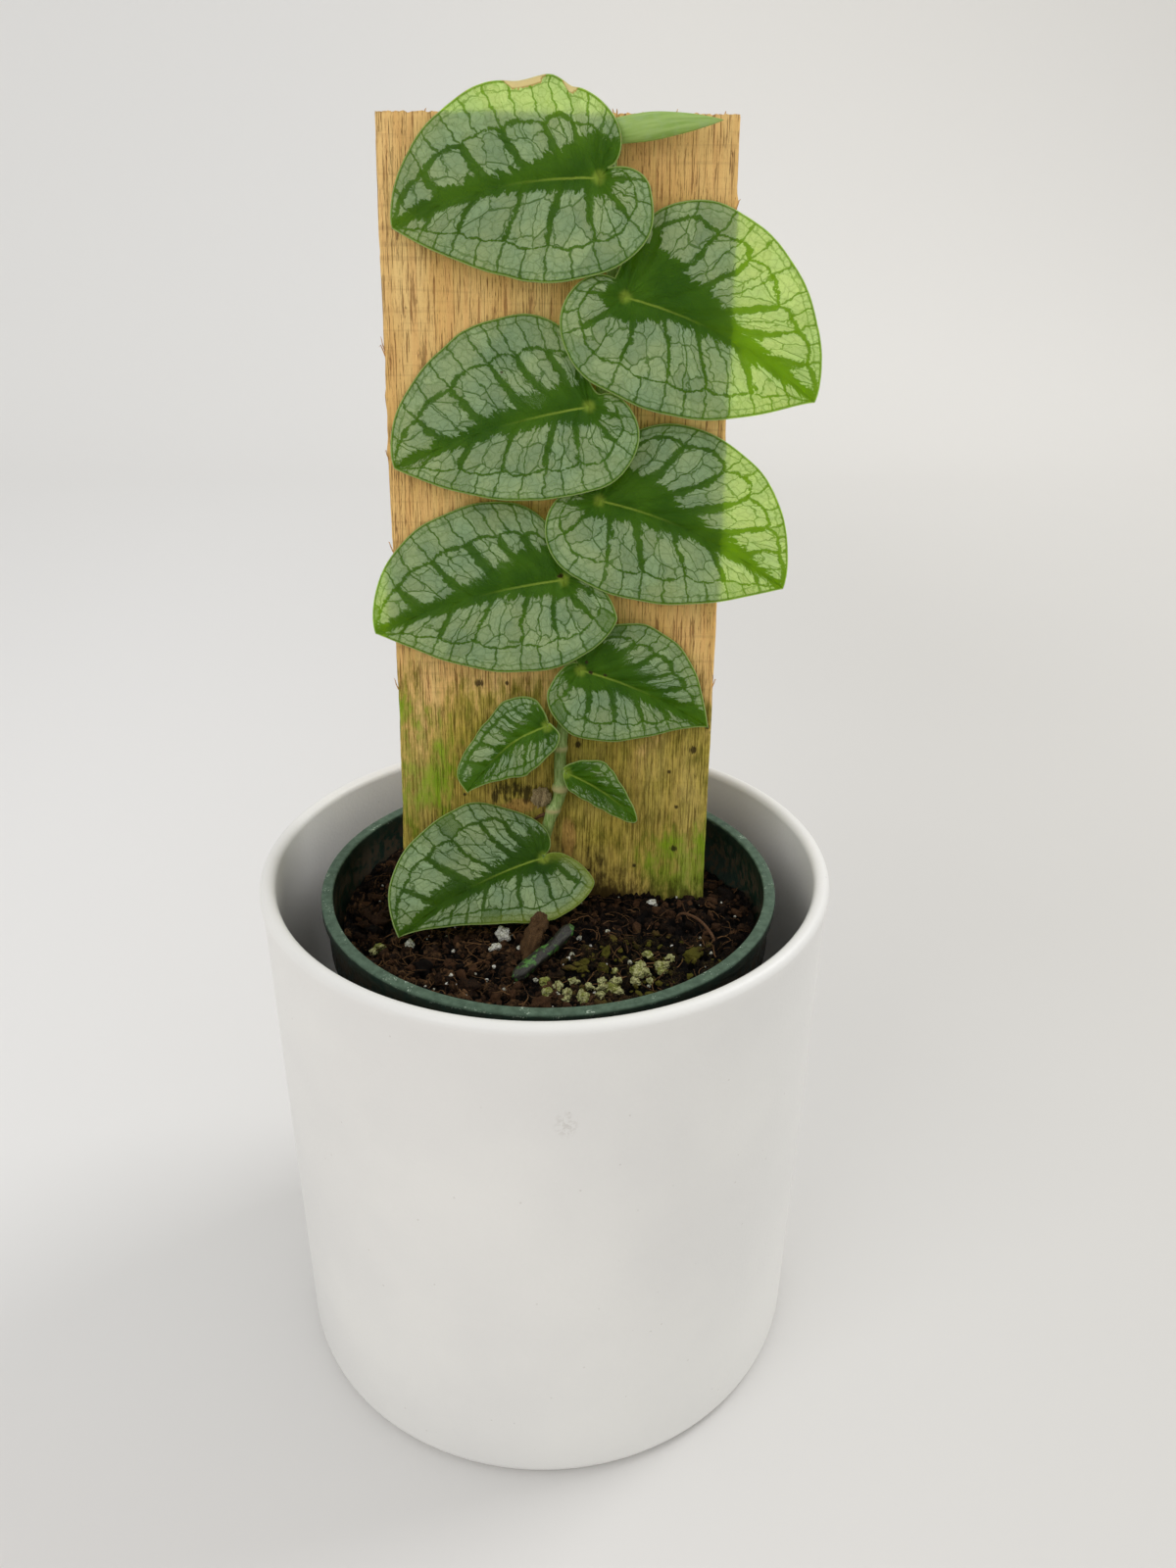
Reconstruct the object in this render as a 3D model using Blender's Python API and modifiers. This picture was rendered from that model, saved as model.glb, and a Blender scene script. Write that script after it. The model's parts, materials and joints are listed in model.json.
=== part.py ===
"""A shingling monstera on a board, in a nursery pot inside a ceramic cachepot.

Metres, +Z up. The origin is on the floor under the cachepot's axis, and -Y is the front.
Places on the board are given in the board's own frame: across to the right, up along the
board from the level of the mix, and out from its front face.
"""
import math

import bmesh
import bpy
from mathutils import Matrix, Vector, noise

MM = 0.001
GAP = 0.3 * MM

# Ceramic cachepot
CACHEPOT_RADIUS = 76.2 * MM
CACHEPOT_FOOT_RADIUS = 75.0 * MM
CACHEPOT_HEIGHT = 153.6 * MM
CACHEPOT_WALL = 4.2 * MM
CACHEPOT_FLOOR = 6.5 * MM
CACHEPOT_LIP = 2.1 * MM
CACHEPOT_EDGE = 4.5 * MM
CACHEPOT_FOOT_RECESS = 1.5 * MM
CACHEPOT_STEPS = 48

# Plastic nursery pot, which stands on the cachepot's floor, a little towards the front
NURSERY_CENTRE = (1.0 * MM, -5.9 * MM)
NURSERY_RADIUS = 60.4 * MM
NURSERY_TOP = 149.8 * MM
NURSERY_LIP = 3.0 * MM
NURSERY_BAND = 15.0 * MM
NURSERY_STEP = 1.6 * MM
NURSERY_FOOT_RADIUS = 45.0 * MM
NURSERY_WALL = 1.5 * MM
NURSERY_FOOT = CACHEPOT_FLOOR + GAP
NURSERY_STEPS = 40
DRAIN_HOLES = 6
DRAIN_RADIUS = 4.5 * MM
DRAIN_CIRCLE = 29.7 * MM

# Potting mix
MIX_TOP = 140.0 * MM
MIX_RINGS = 7
MIX_BUMP = 1.2 * MM
HOLLOW_PLACE = (50.0 * MM, 24.0 * MM)
HOLLOW_RADIUS = 17.0 * MM
HOLLOW_DEPTH = 6.0 * MM

# Board: where its front face meets the mix, its lean back and its turn about the vertical
BOARD_FOOT = (1.8 * MM, 1.8 * MM)
BOARD_LEAN = math.radians(7.5)
BOARD_TURN = math.radians(-1.1)
BOARD_WIDTH = 83.5 * MM
BOARD_THICKNESS = 15.0 * MM
BOARD_ABOVE = 193.2 * MM
BOARD_BELOW = 98.0 * MM
BOARD_EDGE = 0.6 * MM

# Vine
STEM_RADIUS = 1.7 * MM
STALK_RADIUS = 1.0 * MM
BLADE_THICKNESS = 0.8 * MM
BLADE_DROOP = 0.5 * MM
BLADE_RINGS = 4
BLADE_SIDES = 28
BLADE_MIDDLE = 0.35

# The stem's route on the board in millimetres: across, up, out
STEM_ROUTE = [
    (-8.0, -26.0, 8.5), (-8.0, -12.0, 8.0), (-7.0, -3.0, 6.4), (-5.2, 6.0, 4.2), (-3.4, 14.0, 2.9),
    (-1.5, 21.0, 2.3), (-0.2, 25.3, 2.2), (1.7, 30.5, 2.2), (1.7, 41.0, 2.2), (2.3, 48.0, 2.2),
    (4.0, 58.0, 2.2), (4.2, 66.0, 2.2), (5.4, 80.0, 2.2), (5.4, 90.0, 2.2), (7.6, 100.0, 2.2),
    (8.2, 110.0, 2.2), (10.4, 121.0, 2.2), (11.0, 131.0, 2.2), (13.0, 143.0, 2.2), (13.4, 155.0, 2.2),
    (12.6, 168.0, 2.2), (12.6, 177.0, 2.2), (12.6, 184.3, 2.4),
]

# Blades in millimetres. attach and tip are places on the board, tilt is how far the blade's
# lower side stands out. sinus is the notch at the base. Each half of the outline runs from
# the notch back to its lobe, out to its widest place and on to the tip: how far back the lobe
# goes and how far aside it does so, where the half is widest and how wide, and the roundness
# of its flank, of its front and of its point.
BLADES = {
    "leaf_1": {
        "attach": (9.8, 178.6, 7.5), "tip": (-37.9, 168.2, 4.5), "tilt": 0.13, "sinus": (-2.5, 1.5),
        "upper": (6.5, 8.0, 20.0, 25.0, 1.9, 1.9, 0.60),
        "lower": (11.0, 5.0, 10.0, 20.0, 2.8, 1.6, 0.95),
    },
    "leaf_2": {
        "attach": (16.3, 153.9, 7.0), "tip": (62.1, 131.2, 4.5), "tilt": 0.13, "sinus": (-4.0, 2.5),
        "upper": (4.0, 11.0, 16.0, 29.0, 2.1, 2.0, 0.65),
        "lower": (12.0, 7.0, 3.5, 20.5, 2.0, 2.6, 1.20),
    },
    "leaf_3": {
        "attach": (8.3, 129.6, 7.6), "tip": (-39.4, 114.5, 4.6), "tilt": 0.16, "sinus": (-3.5, 2.0),
        "upper": (1.5, 8.0, 19.0, 26.0, 2.5, 1.6, 0.50),
        "lower": (10.0, 7.5, 3.5, 19.0, 1.9, 2.1, 1.00),
    },
    "leaf_4": {
        "attach": (11.0, 107.8, 7.0), "tip": (57.6, 86.6, 4.5), "tilt": 0.15, "sinus": (-2.5, 1.5),
        "upper": (3.0, 9.5, 17.0, 26.0, 1.8, 2.6, 0.70),
        "lower": (10.0, 7.5, 6.0, 19.5, 2.2, 2.1, 1.10),
    },
    "leaf_5": {
        "attach": (2.5, 88.3, 7.0), "tip": (-45.8, 73.3, 4.5), "tilt": 0.14, "sinus": (-3.0, 0.0),
        "upper": (1.5, 7.5, 18.0, 24.0, 2.1, 2.5, 0.60),
        "lower": (10.5, 12.5, 6.0, 20.5, 1.5, 2.1, 1.15),
    },
    "leaf_6": {
        "attach": (6.9, 65.3, 7.0), "tip": (40.6, 49.8, 4.0), "tilt": 0.12, "sinus": (-1.5, 1.5),
        "upper": (3.0, 6.0, 11.0, 17.5, 1.5, 2.7, 1.15),
        "lower": (5.5, 8.0, 5.0, 16.0, 1.6, 2.0, 1.60),
    },
    "leaf_7": {
        "attach": (-1.5, 51.2, 10.0), "tip": (-22.7, 31.5, 7.0), "tilt": 0.25, "sinus": (-0.5, 0.5),
        "upper": (2.0, 6.5, 6.0, 12.5, 1.5, 1.1, 0.25),
        "lower": (1.5, 2.5, 12.5, 6.5, 2.8, 1.1, 1.60),
    },
    "leaf_8": {
        "attach": (3.6, 38.2, 9.0), "tip": (22.4, 25.8, 10.0), "tilt": 0.20, "sinus": (-0.5, 0.5),
        "upper": (1.5, 0.5, 7.5, 8.0, 1.5, 1.1, 0.75),
        "lower": (0.5, 0.5, 4.0, 3.5, 1.5, 1.1, 0.35),
    },
    "leaf_9": {
        "attach": (-2.2, 14.7, 10.0), "tip": (-37.8, 0.9, 31.9), "tilt": 0.80, "sinus": (-0.5, 0.5),
        "upper": (4.5, 5.5, 11.5, 23.0, 1.5, 2.5, 0.50),
        "lower": (9.0, 11.5, 5.5, 16.0, 2.1, 1.3, 1.60),
    },
}

# Where each blade's stalk leaves the stem, in millimetres up the board, and on which side,
# and how far from the stem's middle it bends up to the blade
STALK_BEND = 3.6
STALKS = {
    "leaf_1": (173.0, -1), "leaf_2": (148.0, 1), "leaf_3": (124.0, -1), "leaf_4": (102.0, 1),
    "leaf_5": (82.5, -1), "leaf_6": (59.5, 1), "leaf_7": (43.0, -1), "leaf_8": (32.0, 1),
}

# Rolled new leaf in millimetres: base and tip on the board, height and depth of the roll
ROLL_BASE = (9.0, 187.2, 2.9)
ROLL_TIP = (37.4, 190.5, 6.0)
ROLL_HEIGHT = 8.2
ROLL_DEPTH = 4.2

# Short roots that grip the board: height on the board and side of the stem
GRIPS = [(24.0, -1), (74.0, 1), (117.0, -1), (160.0, 1)]
GRIP_RADIUS = 0.6 * MM

# Dead pieces and grains on the mix, places in millimetres from the pot's axis
STUB_ROUTE = [(-0.4, -20.6, 147.5), (-1.6, -23.6, 145.0), (-3.0, -27.0, 142.0), (-4.2, -31.0, 138.0)]
STUB_RADIUS = 2.2 * MM
CUT_STEM_ROUTE = [(7.2, -22.4, 144.6), (3.0, -28.4, 143.2), (-1.8, -34.6, 142.4), (-6.6, -41.2, 141.6)]
CUT_STEM_RADIUS = 1.7 * MM
ROOTLET_ROUTE = [
    (35.0, -8.5, 138.0), (37.0, -11.0, 141.8), (41.0, -15.5, 142.6), (44.0, -20.0, 141.0), (45.0, -22.0, 138.5),
]
ROOTLET_RADIUS = 0.5 * MM
PERLITE = [
    (-10.9, -20.4, 2.6), (-12.6, -25.6, 1.8), (-34.6, -25.4, 1.7), (28.9, -4.6, 1.6),
    (24.0, -37.0, 2.4), (17.5, -43.5, 2.2), (30.5, -33.5, 2.3), (10.5, -48.0, 1.9),
]
CHIPS = [
    (-30.0, -35.0, 3.2), (-18.0, -43.0, 3.6), (38.0, -28.0, 3.0), (50.0, 3.0, 3.4),
    (-44.0, -14.0, 3.3), (0.5, -50.5, 2.8),
]


def material(name, colour, roughness, metallic=0.0):
    """One Principled material from an sRGB colour of 0 to 255."""
    made = bpy.data.materials.new(name)
    made.use_nodes = True
    shader = made.node_tree.nodes["Principled BSDF"]
    linear = [(c / 255 / 12.92) if c < 11 else ((c / 255 + 0.055) / 1.055) ** 2.4 for c in colour]
    shader.inputs["Base Color"].default_value = (*linear, 1.0)
    shader.inputs["Roughness"].default_value = roughness
    shader.inputs["Metallic"].default_value = metallic
    return made


def collection(name, parent=None):
    """A new collection, in the scene or inside another one."""
    made = bpy.data.collections.new(name)
    (parent or bpy.context.scene.collection).children.link(made)
    return made


def add_object(name, data, group, parent=None, skin=None):
    """An object for the data, in its collection, under its parent and with its material."""
    made = bpy.data.objects.new(name, data)
    group.objects.link(made)
    made.parent = parent
    if skin:
        data.materials.append(skin)
    return made


def as_cutter(made):
    """Marks an object that only cuts others."""
    made.hide_render = True
    made.display_type = "WIRE"
    return made


def arc(centre, radius, start, end, count):
    """Points on an arc in the profile's plane, angles in degrees from the outward direction."""
    points = []
    for i in range(count + 1):
        angle = math.radians(start + (end - start) * i / count)
        points.append((centre[0] + radius * math.cos(angle), centre[1] + radius * math.sin(angle)))
    return points


def turned(name, profile, steps, group, skin):
    """A profile of (radius, height) turned about the vertical by a Screw modifier."""
    mesh = bpy.data.meshes.new(name)
    verts = [(r, 0.0, z) for r, z in profile]
    edges = [(i, i + 1) for i in range(len(profile) - 1)]
    mesh.from_pydata(verts, edges, [])
    made = add_object(name, mesh, group, skin=skin)
    screw = made.modifiers.new("Turn", "SCREW")
    screw.steps = steps
    screw.render_steps = steps
    screw.use_merge_vertices = True
    screw.merge_threshold = 0.00001
    screw.use_smooth_shade = True
    return made


def smooth_route(points, per_span):
    """Points on a smooth curve through the given ones."""
    ends = [points[0] * 2 - points[1]] + points + [points[-1] * 2 - points[-2]]
    route = []
    for i in range(1, len(ends) - 2):
        p0, p1, p2, p3 = ends[i - 1:i + 3]
        for k in range(per_span):
            t = k / per_span
            a = p1 * 2 + (p2 - p0) * t
            b = (p0 * 2 - p1 * 5 + p2 * 4 - p3) * t * t
            c = (p1 * 3 - p0 - p2 * 3 + p3) * t * t * t
            route.append((a + b + c) / 2)
    route.append(points[-1])
    return route


def tube(name, points, radius, group, parent, skin, taper=None):
    """A tube along points, each with its own share of the radius where taper gives one."""
    curve = bpy.data.curves.new(name, "CURVE")
    curve.dimensions = "3D"
    curve.bevel_depth = radius
    curve.bevel_resolution = 2
    curve.use_fill_caps = True
    spline = curve.splines.new("POLY")
    spline.points.add(len(points) - 1)
    for i, point in enumerate(points):
        spline.points[i].co = (*point, 1.0)
        spline.points[i].radius = taper(i / (len(points) - 1)) if taper else 1.0
    return add_object(name, curve, group, parent, skin)


def meshed(made, group):
    """The same shape as a mesh object, for a curve that cuts another piece."""
    bpy.context.view_layer.update()
    solid = made.evaluated_get(bpy.context.evaluated_depsgraph_get())
    mesh = bpy.data.meshes.new_from_object(solid)
    shell = bmesh.new()
    shell.from_mesh(mesh)
    bmesh.ops.remove_doubles(shell, verts=shell.verts, dist=0.00001)
    bmesh.ops.recalc_face_normals(shell, faces=shell.faces)
    shell.to_mesh(mesh)
    shell.free()
    copy = add_object(made.name, mesh, group)
    copy.matrix_world = made.matrix_world.copy()
    bpy.data.objects.remove(made)
    return copy


def on_board(across, up, out):
    """A place in the board's frame, from millimetres."""
    return Vector((across, -out, up)) * MM


def spun_disc(rings, sides):
    """A flat disc of unit radius, made by turning a straight chain of edges."""
    disc = bmesh.new()
    chain = [disc.verts.new((i / rings, 0.0, 0.0)) for i in range(rings + 1)]
    edges = [disc.edges.new(pair) for pair in zip(chain, chain[1:])]
    bmesh.ops.spin(
        disc, geom=chain + edges, cent=(0, 0, 0), axis=(0, 0, 1),
        angle=math.tau, steps=sides, use_merge=True,
    )
    bmesh.ops.remove_doubles(disc, verts=disc.verts, dist=0.0001)
    bmesh.ops.recalc_face_normals(disc, faces=disc.faces)
    return disc


def half_outline(half, sinus, length, count=12):
    """One half of a blade's outline from the notch to the tip, as points (along, aside)."""
    back, back_at, widest, width, shoulder, taper, point = half
    lobe, flank, end = [], [], []
    for i in range(count + 1):
        turn = math.pi / 2 * i / count
        along = sinus[0] - (back + sinus[0]) * math.sin(turn)
        aside = sinus[1] + (back_at - sinus[1]) * (1 - math.cos(turn))
        lobe.append((along, aside))
        along = -back + (widest + back) * (1 - math.cos(turn) ** (2 / shoulder))
        aside = back_at + (width - back_at) * math.sin(turn) ** (2 / shoulder)
        flank.append((along, aside))
        share = 1 - (1 - i / count) ** 1.8
        end.append((widest + (length - widest) * share, width * (1 - share ** taper) ** point))
    return lobe + flank[1:] + end[1:]


def evenly(points, count):
    """The same line with points at equal steps along it."""
    reach = [0.0]
    for a, b in zip(points, points[1:]):
        reach.append(reach[-1] + math.dist(a, b))
    picked = []
    at = 0
    for i in range(count + 1):
        goal = reach[-1] * i / count
        while at < len(points) - 2 and reach[at + 1] < goal:
            at += 1
        share = (goal - reach[at]) / max(reach[at + 1] - reach[at], 1e-9)
        a, b = points[at], points[at + 1]
        picked.append((a[0] + (b[0] - a[0]) * share, a[1] + (b[1] - a[1]) * share))
    return picked


def blade_frame(blade):
    """The blade's base point, length, and directions along, aside and outward."""
    base = on_board(*blade["attach"])
    along = on_board(*blade["tip"]) - base
    length = along.length
    along.normalize()
    aside = Vector((0.0, blade["tilt"], 1.0))
    aside = (aside - along * aside.dot(along)).normalized()
    outward = along.cross(aside)
    if outward.y > 0:
        outward = -outward
    return base, length, along, aside, outward


def blade(name, group, parent, skin):
    """A heart-shaped blade: a disc drawn out to its outline, drooping at its edges."""
    shape = BLADES[name]
    base, length, along, aside, outward = blade_frame(shape)
    long_mm = length / MM
    sinus = shape["sinus"]
    upper = half_outline(shape["upper"], sinus, long_mm)
    lower = half_outline(shape["lower"], (sinus[0], -sinus[1]), long_mm)
    loop = evenly(upper[::-1], BLADE_SIDES // 2)
    loop += [(x, -y) for x, y in evenly(lower, BLADE_SIDES // 2)][1:]
    middle = BLADE_MIDDLE * long_mm
    half_width = {True: shape["upper"][3], False: shape["lower"][3]}

    disc = spun_disc(BLADE_RINGS, BLADE_SIDES)
    for vert in disc.verts:
        reach = math.hypot(vert.co.x, vert.co.y)
        turn = math.atan2(vert.co.y, vert.co.x) % math.tau
        edge = loop[round(turn / math.tau * BLADE_SIDES) % BLADE_SIDES]
        x = middle + (edge[0] - middle) * reach
        y = edge[1] * reach
        droop = BLADE_DROOP * (y / half_width[y > 0]) ** 2
        vert.co = base + along * x * MM + aside * y * MM - outward * droop
    disc.normal_update()
    mesh = bpy.data.meshes.new(name)
    disc.to_mesh(mesh)
    disc.free()
    mesh.shade_smooth()
    made = add_object(name, mesh, group, parent, skin)
    shell = made.modifiers.new("Thickness", "SOLIDIFY")
    shell.thickness = BLADE_THICKNESS
    shell.offset = 0.0
    return made


def lump(name, centre, size, seed, group, parent, skin, detail=2, roughness=0.18):
    """An irregular grain: an icosphere with its points moved in and out by noise."""
    ball = bmesh.new()
    bmesh.ops.create_icosphere(ball, subdivisions=detail, radius=1.0)
    offset = Vector((seed * 7.3, seed * 3.1, seed * 5.7))
    for vert in ball.verts:
        swell = 1 + roughness * 2 * noise.noise(vert.co * 1.6 + offset)
        vert.co = Vector((vert.co.x * size[0], vert.co.y * size[1], vert.co.z * size[2])) * swell
    mesh = bpy.data.meshes.new(name)
    ball.to_mesh(mesh)
    ball.free()
    made = add_object(name, mesh, group, parent, skin)
    made.location = centre
    made.rotation_euler = (0.0, 0.0, seed * 1.1)
    return made


def grown(made, group):
    """A slightly larger copy of a grain, which leaves the gap around it in the mix."""
    copy = made.copy()
    copy.data = made.data.copy()
    copy.name = made.name + "_room"
    group.objects.link(copy)
    for vert in copy.data.vertices:
        vert.co += vert.co.normalized() * GAP * 1.3
    return as_cutter(copy)


def cachepot(group, skin):
    """The ceramic pot: straight wall, rounded lip, rounded foot with a shallow recess."""
    lip = (CACHEPOT_RADIUS - CACHEPOT_LIP, CACHEPOT_HEIGHT - CACHEPOT_LIP)
    inner = CACHEPOT_RADIUS - CACHEPOT_WALL
    floor_edge = (inner - CACHEPOT_EDGE, CACHEPOT_FLOOR + CACHEPOT_EDGE)
    foot_edge = (CACHEPOT_FOOT_RADIUS - CACHEPOT_EDGE, CACHEPOT_EDGE)
    ring = CACHEPOT_FOOT_RADIUS - 2.4 * CACHEPOT_EDGE
    profile = [(0.0, CACHEPOT_FLOOR)]
    profile += arc(floor_edge, CACHEPOT_EDGE, -90, 0, 3)
    profile += arc(lip, CACHEPOT_LIP, 180, 0, 6)
    profile += [(CACHEPOT_FOOT_RADIUS + 0.6 * MM, CACHEPOT_HEIGHT - 8 * MM)]
    profile += arc(foot_edge, CACHEPOT_EDGE, 0, -90, 3)
    profile += [(ring, 0.0), (ring - 1.5 * MM, CACHEPOT_FOOT_RECESS), (0.0, CACHEPOT_FOOT_RECESS)]
    return turned("cachepot", profile, CACHEPOT_STEPS, group, skin)


def nursery_inner(height):
    """The inside radius of the nursery pot's tapering wall at a height."""
    shoulder = NURSERY_TOP - NURSERY_BAND
    share = (height - NURSERY_FOOT) / (shoulder - NURSERY_FOOT)
    top = NURSERY_RADIUS - NURSERY_STEP - NURSERY_WALL
    return min(NURSERY_FOOT_RADIUS + (top - NURSERY_FOOT_RADIUS) * share, top) - NURSERY_WALL


def nursery_pot(group, cutters, skin):
    """The thin plastic pot: tapering wall, straight band, rolled rim and drain holes."""
    shoulder = NURSERY_TOP - NURSERY_BAND
    floor = NURSERY_FOOT + NURSERY_WALL
    band_in = NURSERY_RADIUS - NURSERY_WALL - 0.5 * MM
    wall_top = nursery_inner(shoulder) + NURSERY_WALL
    rim = (NURSERY_RADIUS - NURSERY_LIP / 2, NURSERY_TOP - NURSERY_LIP / 2)
    inside = [
        (0.0, floor),
        (nursery_inner(floor), floor),
        (nursery_inner(shoulder), shoulder),
        (band_in - NURSERY_WALL * 0.4, shoulder + 2 * MM),
        (rim[0] - NURSERY_LIP / 2, rim[1] - NURSERY_LIP / 2),
    ]
    outside = [
        (NURSERY_RADIUS, rim[1] - NURSERY_LIP / 2),
        (band_in + NURSERY_WALL * 0.6, rim[1] - NURSERY_LIP),
        (band_in + NURSERY_WALL * 0.4, shoulder),
        (wall_top, shoulder - 1.5 * MM),
        (NURSERY_FOOT_RADIUS, NURSERY_FOOT),
        (0.0, NURSERY_FOOT),
    ]
    profile = inside + arc(rim, NURSERY_LIP / 2, 180, 0, 4) + outside
    made = turned("nursery_pot", profile, NURSERY_STEPS, group, skin)
    made.location = (*NURSERY_CENTRE, 0.0)
    holes = collection("drain_holes", cutters)
    for i in range(DRAIN_HOLES):
        angle = math.tau * (i + 0.5) / DRAIN_HOLES
        hole = bmesh.new()
        bmesh.ops.create_cone(
            hole, cap_ends=True, segments=16, radius1=DRAIN_RADIUS, radius2=DRAIN_RADIUS, depth=8 * MM,
        )
        mesh = bpy.data.meshes.new(f"drain_hole_{i + 1}")
        hole.to_mesh(mesh)
        hole.free()
        cutter = as_cutter(add_object(f"drain_hole_{i + 1}", mesh, holes))
        cutter.location = (
            NURSERY_CENTRE[0] + DRAIN_CIRCLE * math.cos(angle),
            NURSERY_CENTRE[1] + DRAIN_CIRCLE * math.sin(angle),
            NURSERY_FOOT,
        )
    cut = made.modifiers.new("Drain holes", "BOOLEAN")
    cut.operand_type = "COLLECTION"
    cut.collection = holes
    return made


def mix_height(x, y):
    """The height of the mix's bumpy surface, with the hollow behind the board's right edge."""
    bumps = noise.noise(Vector((x, y, 0.0)) * 90) + 0.5 * noise.noise(Vector((x, y, 0.01)) * 200)
    away = math.hypot(x - HOLLOW_PLACE[0], y - HOLLOW_PLACE[1]) / HOLLOW_RADIUS
    return MIX_TOP + MIX_BUMP * bumps - HOLLOW_DEPTH * math.exp(-away * away)


def potting_mix(group, skin, room):
    """The mix: a turned plug that fills the nursery pot, its top moved to the bumpy surface."""
    rim = nursery_inner(MIX_TOP) - GAP * 1.5
    foot = NURSERY_FOOT + NURSERY_WALL + GAP
    shoulder = NURSERY_TOP - NURSERY_BAND
    profile = [(rim * i / MIX_RINGS, MIX_TOP) for i in range(MIX_RINGS + 1)]
    profile += [(nursery_inner(shoulder) - GAP * 1.5, shoulder - 1 * MM)]
    profile += [(nursery_inner(foot) - GAP * 1.5, foot), (0.0, foot)]
    plug = bmesh.new()
    chain = [plug.verts.new((r, 0.0, z)) for r, z in profile]
    edges = [plug.edges.new(pair) for pair in zip(chain, chain[1:])]
    bmesh.ops.spin(
        plug, geom=chain + edges, cent=(0, 0, 0), axis=(0, 0, 1),
        angle=math.tau, steps=NURSERY_STEPS, use_merge=True,
    )
    bmesh.ops.remove_doubles(plug, verts=plug.verts, dist=0.00001)
    bmesh.ops.recalc_face_normals(plug, faces=plug.faces)
    for vert in plug.verts:
        vert.co.x += NURSERY_CENTRE[0]
        vert.co.y += NURSERY_CENTRE[1]
        if abs(vert.co.z - MIX_TOP) < 0.01 * MM:
            vert.co.z = mix_height(vert.co.x, vert.co.y)
    mesh = bpy.data.meshes.new("potting_mix")
    plug.to_mesh(mesh)
    plug.free()
    made = add_object("potting_mix", mesh, group, skin=skin)
    cut = made.modifiers.new("Room for what stands in it", "BOOLEAN")
    cut.operand_type = "COLLECTION"
    cut.collection = room
    return made


def board_block(name, grow, group, parent):
    """The board's block, larger by grow on every side."""
    block = bmesh.new()
    bmesh.ops.create_cube(block, size=1.0)
    length = BOARD_ABOVE + BOARD_BELOW
    size = Vector((BOARD_WIDTH, BOARD_THICKNESS, length)) + Vector((2 * grow, 2 * grow, 2 * grow))
    for vert in block.verts:
        vert.co = Vector((vert.co.x * size.x, vert.co.y * size.y, vert.co.z * size.z))
    mesh = bpy.data.meshes.new(name)
    block.to_mesh(mesh)
    block.free()
    made = add_object(name, mesh, group, parent)
    made.location = (0.0, BOARD_THICKNESS / 2, (BOARD_ABOVE - BOARD_BELOW) / 2)
    return made


def plank(group, parent, skin):
    """The sawn board that the vine climbs."""
    made = board_block("plank", 0.0, group, parent)
    made.data.materials.append(skin)
    edge = made.modifiers.new("Worn edges", "BEVEL")
    edge.width = BOARD_EDGE
    edge.segments = 1
    return made


def stem_route():
    """Points on the stem's smooth middle line."""
    return smooth_route([on_board(*point) for point in STEM_ROUTE], 2)


def stem_taper(share):
    """The stem is a little thinner at its growing end."""
    return 1.0 - 0.25 * max(0.0, share - 0.8) / 0.2


def stem_at(up):
    """The stem's middle at a height on the board, all in millimetres."""
    for low, high in zip(STEM_ROUTE, STEM_ROUTE[1:]):
        if low[1] <= up <= high[1]:
            share = (up - low[1]) / (high[1] - low[1])
            return [a + (b - a) * share for a, b in zip(low, high)]
    return list(STEM_ROUTE[-1])


def stalk(name, group, parent, skin):
    """A blade's stalk, from the side of the stem to just behind the blade's base."""
    shape = BLADES[name]
    up, side = STALKS[name]
    start = stem_at(up)
    away = (STEM_RADIUS + GAP) / MM + 0.15
    base, _, _, _, outward = blade_frame(shape)
    end = base - outward * (BLADE_THICKNESS / 2 + GAP + 0.1 * MM)
    bend = end - outward * 1.4 * MM - Vector((0.0, 0.0, 0.4 * MM))
    points = [
        on_board(start[0] + side * away, up, start[2]),
        on_board(start[0] + side * (away + 1.0), up + 0.5, start[2] + 0.2),
        on_board(start[0] + side * STALK_BEND, (up + bend.z / MM) / 2, (start[2] - bend.y / MM) / 2),
        bend,
        end - outward * 0.7 * MM,
        end,
    ]
    route = smooth_route(points[:4], 2) + points[4:]
    return tube("stalk_" + name[5:], route, STALK_RADIUS, group, parent, skin)


def low_stalk(group, parent, skin):
    """The lowest blade's stalk, which leaves the front of the stem."""
    up = 8.0
    start = stem_at(up)
    base, _, _, _, outward = blade_frame(BLADES["leaf_9"])
    end = base - outward * (BLADE_THICKNESS / 2 + GAP + 0.1 * MM)
    points = [
        on_board(start[0] + 0.2, up + 0.3, start[2] + (STEM_RADIUS + GAP) / MM + 0.4),
        on_board(start[0] + 0.6, up + 1.0, start[2] + (STEM_RADIUS + GAP) / MM + 1.6),
        end - outward * 0.9 * MM,
        end,
    ]
    return tube("stalk_9", points, STALK_RADIUS, group, parent, skin)


def new_leaf(group, parent, skin):
    """The youngest leaf, still rolled: a spindle drawn out to a point."""
    base, tip = on_board(*ROLL_BASE), on_board(*ROLL_TIP)
    along = (tip - base).normalized()
    length = (tip - base).length
    aside = (Vector((0, 0, 1)) - along * along.z).normalized()
    outward = along.cross(aside)
    ball = bmesh.new()
    bmesh.ops.create_uvsphere(ball, u_segments=14, v_segments=12, radius=1.0)
    for vert in ball.verts:
        share = (1 - vert.co.z) / 2
        ring = math.hypot(vert.co.x, vert.co.y)
        belly = (share ** 0.45) * ((1 - share) ** 0.9) * 2.05
        x, y = (vert.co.x / ring, vert.co.y / ring) if ring > 1e-6 else (0.0, 0.0)
        high = y * belly * ROLL_HEIGHT / 2 * MM
        deep = x * belly * ROLL_DEPTH / 2 * MM
        vert.co = base + along * length * share + aside * high + outward * deep
    ball.normal_update()
    bmesh.ops.recalc_face_normals(ball, faces=ball.faces)
    mesh = bpy.data.meshes.new("new_leaf")
    ball.to_mesh(mesh)
    ball.free()
    mesh.shade_smooth()
    return add_object("new_leaf", mesh, group, parent, skin)


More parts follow.
